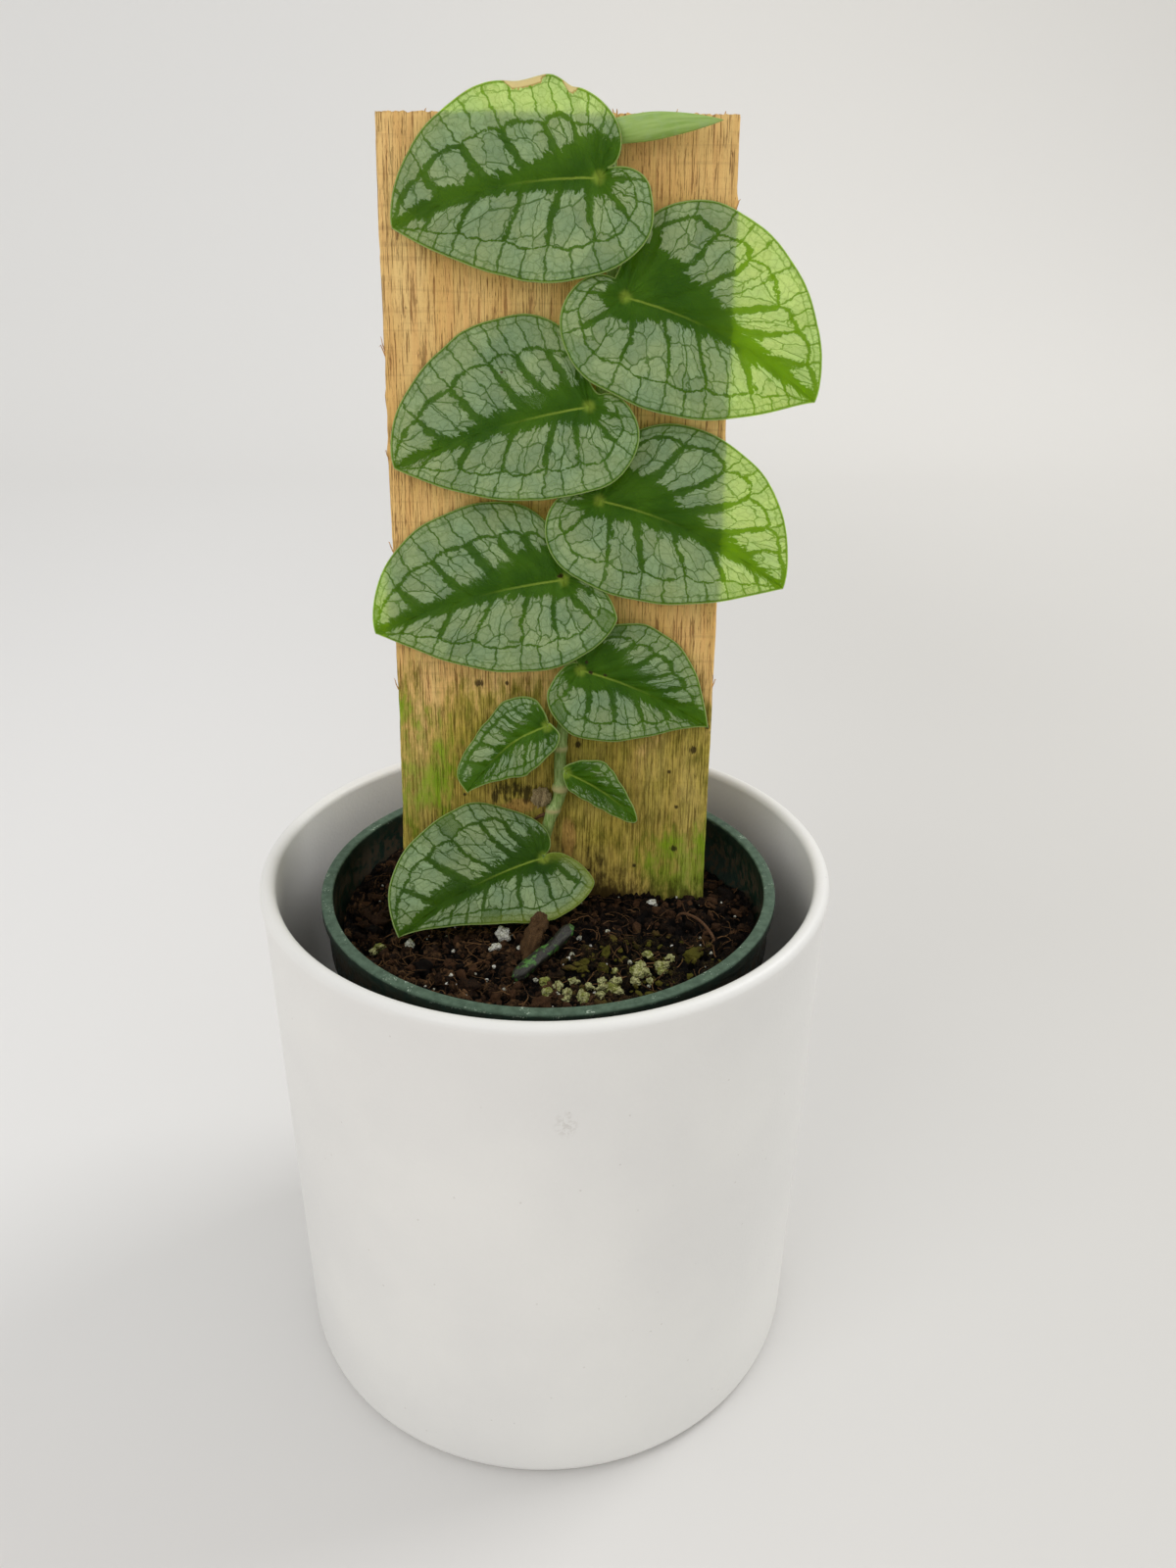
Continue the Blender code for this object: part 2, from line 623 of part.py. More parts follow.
def grip_root(number, up, side, group, parent, skin):
    """One short root from the side of the stem down onto the board's face."""
    start = stem_at(up)
    away = (STEM_RADIUS + GAP) / MM + 0.3
    points = [
        on_board(start[0] + side * away, up, 2.0),
        on_board(start[0] + side * (away + 1.4), up - 0.8, 1.5),
        on_board(start[0] + side * (away + 3.0), up - 2.6, 1.0),
        on_board(start[0] + side * (away + 4.4), up - 5.6, 1.0),
    ]
    return tube(
        f"grip_root_{number}", smooth_route(points, 2), GRIP_RADIUS, group, parent, skin,
        taper=lambda share: 1.0 - 0.4 * share,
    )


def grains(places, name, flat, group, skin):
    """Grains half sunk in the mix at their places."""
    made = []
    for i, (x, y, size) in enumerate(places):
        size = size * MM
        x, y = x * MM, y * MM
        centre = (x, y, mix_height(x, y) + size * flat * 0.35)
        shape = (size, size * 0.85, size * flat)
        made.append(lump(f"{name}_{i + 1}", centre, shape, i + 1 + len(name), group, None, skin))
    return made


def main():
    for old in list(bpy.data.objects):
        bpy.data.objects.remove(old)

    ceramic = material("white_ceramic", (225, 224, 220), 0.35)
    green_plastic = material("green_plastic", (20, 55, 38), 0.45)
    soil = material("potting_mix", (45, 30, 18), 0.95)
    wood = material("sawn_wood", (200, 155, 100), 0.85)
    leaf_green = material("leaf_blade", (75, 110, 50), 0.4)
    stem_green = material("stem", (105, 135, 60), 0.5)
    young_green = material("young_leaf", (150, 180, 100), 0.45)
    bark = material("dead_bark", (95, 68, 48), 0.9)
    dark_stem = material("cut_stem", (45, 65, 35), 0.6)
    root_brown = material("root", (110, 80, 55), 0.85)
    dry_sheath = material("dry_sheath", (150, 120, 95), 0.9)
    perlite_white = material("perlite", (225, 225, 215), 0.9)

    parts = collection("potted_monstera")
    cutters = collection("cutters")
    room = collection("room_in_mix", cutters)

    board_frame = bpy.data.objects.new("board_frame", None)
    parts.objects.link(board_frame)
    board_frame.location = (*BOARD_FOOT, MIX_TOP)
    turn = Matrix.Rotation(BOARD_TURN, 3, "Z")
    board_frame.rotation_euler = (turn @ Matrix.Rotation(-BOARD_LEAN, 3, "X")).to_euler()

    cachepot(parts, ceramic)
    nursery_pot(parts, cutters, green_plastic)
    plank(parts, board_frame, wood)
    as_cutter(board_block("plank_room", GAP, room, board_frame))

    tube("vine_stem", stem_route(), STEM_RADIUS, parts, board_frame, stem_green, stem_taper)
    foot = [on_board(*point) for point in STEM_ROUTE[:5]]
    foot[0] += (foot[0] - foot[1]).normalized() * GAP * 1.2
    stem_room = tube("stem_room", smooth_route(foot, 2), STEM_RADIUS + GAP * 1.2, room, board_frame, None)
    as_cutter(meshed(stem_room, room))

    for name in BLADES:
        blade(name, parts, board_frame, leaf_green)
        if name in STALKS:
            stalk(name, parts, board_frame, stem_green)
    low_stalk(parts, board_frame, stem_green)
    new_leaf(parts, board_frame, young_green)
    for i, (up, side) in enumerate(GRIPS):
        grip_root(i + 1, up, side, parts, board_frame, root_brown)
    lump(
        "dried_bract", on_board(-3.4, 29.2, 2.6), (2.3 * MM, 1.9 * MM, 2.6 * MM), 5,
        parts, board_frame, dry_sheath, roughness=0.35,
    )

    for name, route, radius, skin in (
        ("old_bark_stub", STUB_ROUTE, STUB_RADIUS, bark),
        ("cut_stem", CUT_STEM_ROUTE, CUT_STEM_RADIUS, dark_stem),
        ("rootlet", ROOTLET_ROUTE, ROOTLET_RADIUS, root_brown),
    ):
        points = smooth_route([Vector(point) * MM for point in route], 3)
        tube(name, points, radius, parts, None, skin)
        longer = [points[0] * 2 - points[1]] + points + [points[-1] * 2 - points[-2]]
        litter_room = tube(name + "_room", longer, radius + GAP * 1.2, room, None, None)
        as_cutter(meshed(litter_room, room))

    white_grains = grains(PERLITE, "perlite", 0.8, parts, perlite_white)
    chips = grains(CHIPS, "bark_chip", 0.55, parts, bark)
    for grain in white_grains + chips:
        grown(grain, room)
    potting_mix(parts, soil, room)


main()
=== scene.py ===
"""The potted monstera as it looks: veined blades, sawn board, mix, pots, light and camera."""

import json
import math

import bmesh
import bpy
import numpy as np
from mathutils import Matrix, Vector, noise

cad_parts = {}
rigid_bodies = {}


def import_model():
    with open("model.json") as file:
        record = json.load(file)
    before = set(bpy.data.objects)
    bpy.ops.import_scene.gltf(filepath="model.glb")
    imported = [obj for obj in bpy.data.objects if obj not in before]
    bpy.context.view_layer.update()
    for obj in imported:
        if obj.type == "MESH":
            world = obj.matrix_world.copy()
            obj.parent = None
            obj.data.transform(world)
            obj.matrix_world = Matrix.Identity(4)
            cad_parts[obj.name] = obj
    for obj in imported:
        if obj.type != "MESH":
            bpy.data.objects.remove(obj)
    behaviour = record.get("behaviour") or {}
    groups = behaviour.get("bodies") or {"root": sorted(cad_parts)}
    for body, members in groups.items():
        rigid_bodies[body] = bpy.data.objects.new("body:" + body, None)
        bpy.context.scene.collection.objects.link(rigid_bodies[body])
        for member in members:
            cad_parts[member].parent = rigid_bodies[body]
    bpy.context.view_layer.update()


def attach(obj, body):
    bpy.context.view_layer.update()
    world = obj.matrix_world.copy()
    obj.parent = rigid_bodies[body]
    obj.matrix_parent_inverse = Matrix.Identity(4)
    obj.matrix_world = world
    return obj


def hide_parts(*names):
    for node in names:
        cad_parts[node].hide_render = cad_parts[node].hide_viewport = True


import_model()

MM = 0.001

# Board: its front face at the level of the mix, its lean and turn
BOARD_FOOT = Vector((1.8, 1.8, 140.0)) * MM
BOARD_TURN = Matrix.Rotation(math.radians(-1.1), 3, "Z") @ Matrix.Rotation(math.radians(-7.5), 3, "X")
BOARD = Matrix.Translation(BOARD_FOOT) @ BOARD_TURN.to_4x4()
BOARD_WIDTH = 83.5
BOARD_THICKNESS = 15.0
BOARD_ABOVE = 193.2
BOARD_BELOW = 98.0

# Pots and mix, in millimetres
CACHEPOT_RADIUS = 76.2
CACHEPOT_FOOT = 75.0
CACHEPOT_HEIGHT = 153.6
CACHEPOT_WALL = 4.2
CACHEPOT_FLOOR = 6.5
CACHEPOT_LIP = 2.1
CACHEPOT_EDGE = 4.5
CACHEPOT_RECESS = 1.5
NURSERY_CENTRE = (1.0, -5.9)
NURSERY_RADIUS = 60.4
NURSERY_TOP = 149.8
NURSERY_LIP = 3.0
NURSERY_BAND = 15.0
NURSERY_STEP = 1.6
NURSERY_FOOT_RADIUS = 45.0
NURSERY_WALL = 1.5
NURSERY_FOOT = 6.8
DRAIN_HOLES = 6
DRAIN_RADIUS = 4.5
DRAIN_CIRCLE = 29.7
MIX_TOP = 140.0
MIX_BUMP = 1.2
MIX_GAP = 0.5
MIX_GRID = (130, 300)
CRUMBS = 1500
FIBRES = 620
FIBRE_STEPS = 6
SMALL_GRAINS = 120
HOLLOW_PLACE = (50.0, 24.0)
HOLLOW_RADIUS = 17.0
HOLLOW_DEPTH = 6.0

# Vine, in millimetres on the board: across, up, out
STEM_RADIUS = 1.7
STALK_RADIUS = 1.0
RING_SPREAD = 0.55
STEM_ROUTE = [
    (-8.0, -26.0, 8.5), (-8.0, -12.0, 8.0), (-7.0, -3.0, 6.4), (-5.2, 6.0, 4.2), (-3.4, 14.0, 2.9),
    (-1.5, 21.0, 2.3), (-0.2, 25.3, 2.2), (1.7, 30.5, 2.2), (1.7, 41.0, 2.2), (2.3, 48.0, 2.2),
    (4.0, 58.0, 2.2), (4.2, 66.0, 2.2), (5.4, 80.0, 2.2), (5.4, 90.0, 2.2), (7.6, 100.0, 2.2),
    (8.2, 110.0, 2.2), (10.4, 121.0, 2.2), (11.0, 131.0, 2.2), (13.0, 143.0, 2.2), (13.4, 155.0, 2.2),
    (12.6, 168.0, 2.2), (12.6, 177.0, 2.2), (12.6, 184.3, 2.4),
]
STALK_BEND = 3.6
STALKS = {
    "leaf_1": (173.0, -1), "leaf_2": (148.0, 1), "leaf_3": (124.0, -1), "leaf_4": (102.0, 1),
    "leaf_5": (82.5, -1), "leaf_6": (59.5, 1), "leaf_7": (43.0, -1), "leaf_8": (32.0, 1),
}
ROLL_BASE = (9.0, 187.2, 2.9)
ROLL_TIP = (37.4, 190.5, 6.0)
ROLL_HEIGHT = 8.2
ROLL_DEPTH = 4.2
GRIPS = [(24.0, -1), (74.0, 1), (117.0, -1), (160.0, 1)]

# Blades in millimetres. attach and tip are places on the board, tilt is how far the lower side
# stands out, and sinus is the notch. Each half has how far back its lobe goes and how far aside
# it does so, where it is widest and how wide, and the roundness of flank, front and point.
# bow is how far the midrib arches, and collect where each half's collecting vein runs, as a
# share of the way out. bare is how far from the base the plain green reaches in each half.
# Most of these numbers are the output of a program that worked from points picked in the photo.
BLADES = {
    "leaf_1": {
        "attach": (9.8, 178.6, 7.5), "tip": (-37.9, 168.2, 4.5), "tilt": 0.13, "sinus": (-2.5, 1.5),
        "upper": (6.5, 8.0, 20.0, 25.0, 1.9, 1.9, 0.60),
        "lower": (11.0, 5.0, 10.0, 20.0, 2.8, 1.6, 0.95),
        "bow": 3.0, "collect": (0.58, 0.66), "bare": (13.0, 3.0),
    },
    "leaf_2": {
        "attach": (16.3, 153.9, 7.0), "tip": (62.1, 131.2, 4.5), "tilt": 0.13, "sinus": (-4.0, 2.5),
        "upper": (4.0, 11.0, 16.0, 29.0, 2.1, 2.0, 0.65),
        "lower": (12.0, 7.0, 3.5, 20.5, 2.0, 2.6, 1.20),
        "bow": 3.2, "collect": (0.80, 0.70), "bare": (22.0, 6.0),
    },
    "leaf_3": {
        "attach": (8.3, 129.6, 7.6), "tip": (-39.4, 114.5, 4.6), "tilt": 0.16, "sinus": (-3.5, 2.0),
        "upper": (1.5, 8.0, 19.0, 26.0, 2.5, 1.6, 0.50),
        "lower": (10.0, 7.5, 3.5, 19.0, 1.9, 2.1, 1.00),
        "bow": 1.8, "collect": (0.64, 0.66), "bare": (7.0, 3.0),
    },
    "leaf_4": {
        "attach": (11.0, 107.8, 7.0), "tip": (57.6, 86.6, 4.5), "tilt": 0.15, "sinus": (-2.5, 1.5),
        "upper": (3.0, 9.5, 17.0, 26.0, 1.8, 2.6, 0.70),
        "lower": (10.0, 7.5, 6.0, 19.5, 2.2, 2.1, 1.10),
        "bow": 3.0, "collect": (0.84, 0.70), "bare": (17.0, 5.0),
    },
    "leaf_5": {
        "attach": (2.5, 88.3, 7.0), "tip": (-45.8, 73.3, 4.5), "tilt": 0.14, "sinus": (-3.0, 0.0),
        "upper": (1.5, 7.5, 18.0, 24.0, 2.1, 2.5, 0.60),
        "lower": (10.5, 12.5, 6.0, 20.5, 1.5, 2.1, 1.15),
        "bow": 2.0, "collect": (0.62, 0.68), "bare": (16.0, 4.0),
    },
    "leaf_6": {
        "attach": (6.9, 65.3, 7.0), "tip": (40.6, 49.8, 4.0), "tilt": 0.12, "sinus": (-1.5, 1.5),
        "upper": (3.0, 6.0, 11.0, 17.5, 1.5, 2.7, 1.15),
        "lower": (5.5, 8.0, 5.0, 16.0, 1.6, 2.0, 1.60),
        "bow": 1.6, "collect": (0.74, 0.72), "bare": (11.0, 5.0),
    },
    "leaf_7": {
        "attach": (-1.5, 51.2, 10.0), "tip": (-22.7, 31.5, 7.0), "tilt": 0.25, "sinus": (-0.5, 0.5),
        "upper": (2.0, 6.5, 6.0, 12.5, 1.5, 1.1, 0.25),
        "lower": (1.5, 2.5, 12.5, 6.5, 2.8, 1.1, 1.60),
        "bow": 2.6, "collect": (0.75, 0.75), "bare": (5.0, 4.0),
    },
    "leaf_8": {
        "attach": (3.6, 38.2, 9.0), "tip": (22.4, 25.8, 10.0), "tilt": 0.20, "sinus": (-0.5, 0.5),
        "upper": (1.5, 0.5, 7.5, 8.0, 1.5, 1.1, 0.75),
        "lower": (0.5, 0.5, 4.0, 3.5, 1.5, 1.1, 0.35),
        "bow": 1.2, "collect": (0.75, 0.75), "bare": (3.5, 2.0),
    },
    "leaf_9": {
        "attach": (-2.2, 14.7, 10.0), "tip": (-37.8, 0.9, 31.9), "tilt": 0.80, "sinus": (-0.5, 0.5),
        "upper": (4.5, 5.5, 11.5, 23.0, 1.5, 2.5, 0.50),
        "lower": (9.0, 11.5, 5.5, 16.0, 2.1, 1.3, 1.60),
        "bow": 2.4, "collect": (0.72, 0.72), "bare": (6.0, 5.0),
    },
}
BLADE_THICKNESS = 0.45
BLADE_DROOP = 0.5
BLADE_GRID = (150, 44)
SMALL_GRID = (96, 28)
SMALL_BLADES = ("leaf_6", "leaf_7", "leaf_8")

# How far apart the blades lie in the materials' third coordinate, so that their patterns differ
BLADE_OFFSET = 40.0

# Where the laterals run, for blades that point left and right: those of the lobe by their share
# of the margin, counted from the notch, and those along the midrib by their share of the
# midrib and of the margin. The last number is how much they bend towards the tip.
VEINS = {
    ("left", "upper"): (
        [0.09, 0.19], 0.26,
        [(0.03, 0.31), (0.12, 0.42), (0.27, 0.53), (0.48, 0.66), (0.72, 0.80)], 0.10,
    ),
    ("left", "lower"): (
        [0.12, 0.25], 0.34,
        [(0.03, 0.42), (0.15, 0.55), (0.33, 0.70), (0.54, 0.82), (0.76, 0.92)], 0.10,
    ),
    ("right", "upper"): (
        [0.11, 0.23], 0.33,
        [(0.02, 0.42), (0.10, 0.56), (0.23, 0.69), (0.42, 0.80), (0.66, 0.90)], 0.16,
    ),
    ("right", "lower"): (
        [0.11, 0.24], 0.34,
        [(0.04, 0.44), (0.16, 0.57), (0.33, 0.71), (0.54, 0.83), (0.77, 0.93)], 0.12,
    ),
}

# Small departures of the margin: half, share of the margin, spread, and millimetres outwards
MARGIN_BUMPS = {
    "leaf_1": [("upper", 0.345, 0.034, 1.0), ("upper", 0.435, 0.040, -0.8), ("upper", 0.285, 0.016, -0.4),
               ("lower", 0.62, 0.03, 0.3)],
    "leaf_3": [("upper", 0.55, 0.04, 0.4), ("lower", 0.5, 0.04, -0.3)],
}

# Dry stretches of the margin: half, share of the margin where they start and end, and depth
DRY_MARGINS = {"leaf_1": [("upper", 0.362, 0.480, 1.7), ("upper", 0.262, 0.318, 1.5)]}


# Shader arithmetic


def fill(tree, slot, value):
    """Links a value to a socket, or writes a number or colour in it."""
    if isinstance(value, Value):
        tree.links.new(value.socket, slot)
    elif isinstance(value, tuple):
        slot.default_value = (*value, 1.0)
    else:
        slot.default_value = value


class Value:
    """A socket in a material's node tree, with arithmetic that adds nodes."""

    def __init__(self, tree, socket):
        self.tree = tree
        self.socket = socket

    def math(self, operation, *others):
        node = self.tree.nodes.new("ShaderNodeMath")
        node.operation = operation
        for slot, value in zip(node.inputs, (self, *others)):
            fill(self.tree, slot, value)
        return Value(self.tree, node.outputs[0])

    def __add__(self, other):
        return self.math("ADD", other)

    def __sub__(self, other):
        return self.math("SUBTRACT", other)

    def __mul__(self, other):
        return self.math("MULTIPLY", other)

    def __truediv__(self, other):
        return self.math("DIVIDE", other)

    def __rsub__(self, other):
        return self * -1 + other

    __radd__ = __add__
    __rmul__ = __mul__

    def least(self, other):
        return self.math("MINIMUM", other)

    def most(self, other):
        return self.math("MAXIMUM", other)

    def squared(self):
        return self * self

    def size(self):
        return self.math("ABSOLUTE")

    def part(self):
        return self.math("FRACT")

    def whole(self):
        return self.math("FLOOR")

    def step(self, low, high):
        """0 below low and 1 above high, smooth between; reversed where low is the larger."""
        node = self.tree.nodes.new("ShaderNodeMapRange")
        node.interpolation_type = "SMOOTHSTEP"
        for slot, value in zip(node.inputs, (self, low, high)):
            fill(self.tree, slot, value)
        return Value(self.tree, node.outputs[0])


class Paint:
    """A new material and the calls that read places, patterns and colours in it."""

    def __init__(self, name):
        self.material = bpy.data.materials.new(name)
        self.material.use_nodes = True
        self.tree = self.material.node_tree
        self.shader = self.tree.nodes["Principled BSDF"]
        metres = Value(self.tree, self.tree.nodes.new("ShaderNodeTexCoord").outputs["Object"])
        self.place = self.scaled(metres, (1 / MM, 1 / MM, 1 / MM))

    def scaled(self, vector, factors):
        node = self.tree.nodes.new("ShaderNodeVectorMath")
        node.operation = "MULTIPLY"
        self.tree.links.new(vector.socket, node.inputs[0])
        node.inputs[1].default_value = factors
        return Value(self.tree, node.outputs[0])

    def attribute(self, name, vector=False):
        node = self.tree.nodes.new("ShaderNodeAttribute")
        node.attribute_name = name
        return Value(self.tree, node.outputs["Vector" if vector else "Fac"])

    def axes(self, vector):
        node = self.tree.nodes.new("ShaderNodeSeparateXYZ")
        self.tree.links.new(vector.socket, node.inputs[0])
        return [Value(self.tree, output) for output in node.outputs]

    def vector(self, x, y, z):
        node = self.tree.nodes.new("ShaderNodeCombineXYZ")
        for slot, value in zip(node.inputs, (x, y, z)):
            fill(self.tree, slot, value)
        return Value(self.tree, node.outputs[0])

    def noise(self, vector, scale, detail=2.0, roughness=0.5, distortion=0.0):
        node = self.tree.nodes.new("ShaderNodeTexNoise")
        self.tree.links.new(vector.socket, node.inputs["Vector"])
        node.inputs["Scale"].default_value = scale
        node.inputs["Detail"].default_value = detail
        node.inputs["Roughness"].default_value = roughness
        node.inputs["Distortion"].default_value = distortion
        return Value(self.tree, node.outputs[0])

    def cells(self, vector, scale, feature="DISTANCE_TO_EDGE", randomness=1.0, flat=True):
        node = self.tree.nodes.new("ShaderNodeTexVoronoi")
        node.feature = feature
        node.voronoi_dimensions = "2D" if flat else "3D"
        self.tree.links.new(vector.socket, node.inputs["Vector"])
        node.inputs["Scale"].default_value = scale
        node.inputs["Randomness"].default_value = randomness
        return Value(self.tree, node.outputs["Distance"])

    def cell_random(self, vector, scale, randomness=1.0):
        """A random number of its own for each cell of the same pattern."""
        node = self.tree.nodes.new("ShaderNodeTexVoronoi")
        node.voronoi_dimensions = "2D"
        self.tree.links.new(vector.socket, node.inputs["Vector"])
        node.inputs["Scale"].default_value = scale
        node.inputs["Randomness"].default_value = randomness
        split = self.tree.nodes.new("ShaderNodeSeparateColor")
        self.tree.links.new(node.outputs["Color"], split.inputs[0])
        return Value(self.tree, split.outputs[0])

    def random(self, number):
        """A fixed random number between 0 and 1 for each value of number."""
        node = self.tree.nodes.new("ShaderNodeTexWhiteNoise")
        node.noise_dimensions = "1D"
        self.tree.links.new(number.socket, node.inputs["W"])
        return Value(self.tree, node.outputs["Value"])

    def mix(self, share, low, high):
        """The colour low where share is 0 and high where it is 1."""
        node = self.tree.nodes.new("ShaderNodeMix")
        node.data_type = "RGBA"
        slots = [s for s in node.inputs if s.type == "RGBA"]
        fill(self.tree, node.inputs[0], share)
        fill(self.tree, slots[0], low)
        fill(self.tree, slots[1], high)
        return Value(self.tree, next(s for s in node.outputs if s.type == "RGBA"))

    def shaded(self, colour, factor):
        """The colour times a grey factor."""
        node = self.tree.nodes.new("ShaderNodeVectorMath")
        node.operation = "SCALE"
        self.tree.links.new(colour.socket, node.inputs[0])
        fill(self.tree, node.inputs["Scale"], factor)
        return Value(self.tree, node.outputs[0])

    def bump(self, height, distance, strength=1.0):
        node = self.tree.nodes.new("ShaderNodeBump")
        node.inputs["Strength"].default_value = strength
        node.inputs["Distance"].default_value = distance
        self.tree.links.new(height.socket, node.inputs["Height"])
        return Value(self.tree, node.outputs[0])

    def finish(self, colour, roughness, normal=None, specular=None):
        """Joins the results to the Principled shader."""
        fill(self.tree, self.shader.inputs["Base Color"], colour)
        fill(self.tree, self.shader.inputs["Roughness"], roughness)
        if normal:
            fill(self.tree, self.shader.inputs["Normal"], normal)
        if specular is not None:
            fill(self.tree, self.shader.inputs["Specular IOR Level"], specular)
        return self.material

    def let_through(self, share, colour, normal=None):
        """Mixes in light that passes through from behind."""
        glow = self.tree.nodes.new("ShaderNodeBsdfTranslucent")
        fill(self.tree, glow.inputs["Color"], colour)
        if normal:
            fill(self.tree, glow.inputs["Normal"], normal)
        mixed = self.tree.nodes.new("ShaderNodeMixShader")
        fill(self.tree, mixed.inputs[0], share)
        self.tree.links.new(self.shader.outputs[0], mixed.inputs[1])
        self.tree.links.new(glow.outputs[0], mixed.inputs[2])
        out = next(n for n in self.tree.nodes if n.type == "OUTPUT_MATERIAL")
        self.tree.links.new(mixed.outputs[0], out.inputs["Surface"])


def rgb(red, green, blue):
    """A linear colour from sRGB values of 0 to 255."""
    shares = (red / 255, green / 255, blue / 255)
    return tuple(c / 12.92 if c < 11 / 255 else ((c + 0.055) / 1.055) ** 2.4 for c in shares)


# Meshes


def mesh_object(name, points, faces, skin, smooth=True):
    mesh = bpy.data.meshes.new(name)
    mesh.from_pydata(points, [], faces)
    mesh.validate()
    made = bpy.data.objects.new(name, mesh)
    bpy.context.scene.collection.objects.link(made)
    mesh.materials.append(skin)
    if smooth:
        mesh.shade_smooth()
    return made


def grid_faces(columns, rows, closed=False, start=0):
    """Quads between the columns of a grid whose points are counted row by row in each column."""
    faces = []
    for j in range(columns if closed else columns - 1):
        near, far = start + j * rows, start + (j + 1) % columns * rows
        for i in range(rows - 1):
            faces.append((near + i, far + i, far + i + 1, near + i + 1))
    return faces


def tube_faces(rings, sides):
    """Quads between the rings of a tube whose points are counted round each ring."""
    faces = []
    for near in range(0, (rings - 1) * sides, sides):
        far = near + sides
        for k in range(sides):
            n = (k + 1) % sides
            faces.append((near + k, near + n, far + n, far + k))
    return faces


def write_attribute(made, name, values, domain="POINT"):
    """Numbers or vectors that the materials read, one for each point or corner."""
    values = np.asarray(values, np.float32)
    is_vector = values.ndim > 1
    layer = made.data.attributes.new(name, "FLOAT_VECTOR" if is_vector else "FLOAT", domain)
    layer.data.foreach_set("vector" if is_vector else "value", values.reshape(-1))


def turned(name, profile, steps, skin, centre=(0.0, 0.0), wobble=0.0):
    """A closed profile of (radius, height) in millimetres, turned about the vertical."""
    points = []
    inner = [k for k, (r, z) in enumerate(profile) if r > 0]
    for j in range(steps):
        angle = math.tau * j / steps
        sway = 1.0 + wobble * noise.noise(Vector((math.cos(angle), math.sin(angle), 0.3)) * 1.3)
        for k in inner:
            r, z = profile[k]
            points.append(((centre[0] + r * sway * math.cos(angle)) * MM,
                           (centre[1] + r * sway * math.sin(angle)) * MM, z * MM))
    rows = len(inner)
    faces = grid_faces(steps, rows, closed=True)
    first, last = len(points), len(points) + 1
    points.append((centre[0] * MM, centre[1] * MM, profile[0][1] * MM))
    points.append((centre[0] * MM, centre[1] * MM, profile[-1][1] * MM))
    for j in range(steps):
        k = (j + 1) % steps
        faces.append((first, k * rows, j * rows))
        faces.append((last, j * rows + rows - 1, k * rows + rows - 1))
    return mesh_object(name, points, faces, skin)


def arc(centre, radius, start, end, count):
    points = []
    for i in range(count + 1):
        angle = math.radians(start + (end - start) * i / count)
        points.append((centre[0] + radius * math.cos(angle), centre[1] + radius * math.sin(angle)))
    return points


def smooth_route(points, per_span):
    """Points on a smooth curve through the given ones."""
    ends = [points[0] * 2 - points[1]] + points + [points[-1] * 2 - points[-2]]
    route = []
    for i in range(1, len(ends) - 2):
        p0, p1, p2, p3 = ends[i - 1:i + 3]
        for k in range(per_span):
            t = k / per_span
            a = p1 * 2 + (p2 - p0) * t
            b = (p0 * 2 - p1 * 5 + p2 * 4 - p3) * t * t
            c = (p1 * 3 - p0 - p2 * 3 + p3) * t * t * t
            route.append((a + b + c) / 2)
    route.append(points[-1])
    return route


def swept(name, route, radius, skin, sides=12, shape=None):
    """A tube along the route; radius is a function of the share of the way, in millimetres."""
    points = []
    up = Vector((0.0, 0.0, 1.0))
    count = len(route)
    side = None
    for i, place in enumerate(route):
        ahead = (route[min(i + 1, count - 1)] - route[max(i - 1, 0)]).normalized()
        if side is None:
            side = ahead.cross(up if abs(ahead.z) < 0.9 else Vector((0, 1, 0))).normalized()
        side = (side - ahead * side.dot(ahead)).normalized()
        other = ahead.cross(side)
        size = radius(i / (count - 1)) * MM
        for k in range(sides):
            angle = math.tau * k / sides
            swell = shape(i / (count - 1), angle) if shape else 1.0
            points.append(place + (side * math.cos(angle) + other * math.sin(angle)) * size * swell)
    faces = tube_faces(count, sides)
    points.append(route[0])
    points.append(route[-1])
    for k in range(sides):
        n = (k + 1) % sides
        faces.append((len(points) - 2, n, k))
        faces.append((len(points) - 1, (count - 1) * sides + k, (count - 1) * sides + n))
    return mesh_object(name, points, faces, skin)


def on_board(across, up, out):
    """A place on the board, from millimetres, in the row frame."""
    return BOARD @ (Vector((across, -out, up)) * MM)


# Blades


def half_outline(half, sinus, length, count=60):
    """One half of a blade's outline from the notch to the tip, as points (along, aside)."""
    back, back_at, widest, width, shoulder, taper, point = half
    lobe, flank, end = [], [], []
    for i in range(count + 1):
        turn = math.pi / 2 * i / count
        along = sinus[0] - (back + sinus[0]) * math.sin(turn)
        aside = sinus[1] + (back_at - sinus[1]) * (1 - math.cos(turn))
        lobe.append((along, aside))
        along = -back + (widest + back) * (1 - math.cos(turn) ** (2 / shoulder))
        aside = back_at + (width - back_at) * math.sin(turn) ** (2 / shoulder)
        flank.append((along, aside))
        share = 1 - (1 - i / count) ** 1.8
        end.append((widest + (length - widest) * share, width * (1 - share ** taper) ** point))
    return np.array(lobe + flank[1:] + end[1:])


def along_line(points, shares):
    """Places at shares of the length of a line of points."""
    steps = np.hypot(*np.diff(points, axis=0).T)
    reach = np.concatenate([[0.0], np.cumsum(steps)])
    reach /= reach[-1]
    return np.stack([np.interp(shares, reach, points[:, 0]), np.interp(shares, reach, points[:, 1])], 1)


def blade_frame(blade):
    """The blade's base point, length, and directions along, aside and outward, on the board."""
    base = Vector((blade["attach"][0], -blade["attach"][2], blade["attach"][1]))
    tip = Vector((blade["tip"][0], -blade["tip"][2], blade["tip"][1]))
    along = tip - base
    length = along.length
    along.normalize()
    aside = Vector((0.0, blade["tilt"], 1.0))
    aside = (aside - along * aside.dot(along)).normalized()
    outward = along.cross(aside)
    if outward.y > 0:
        outward = -outward
    return base, length, along, aside, outward


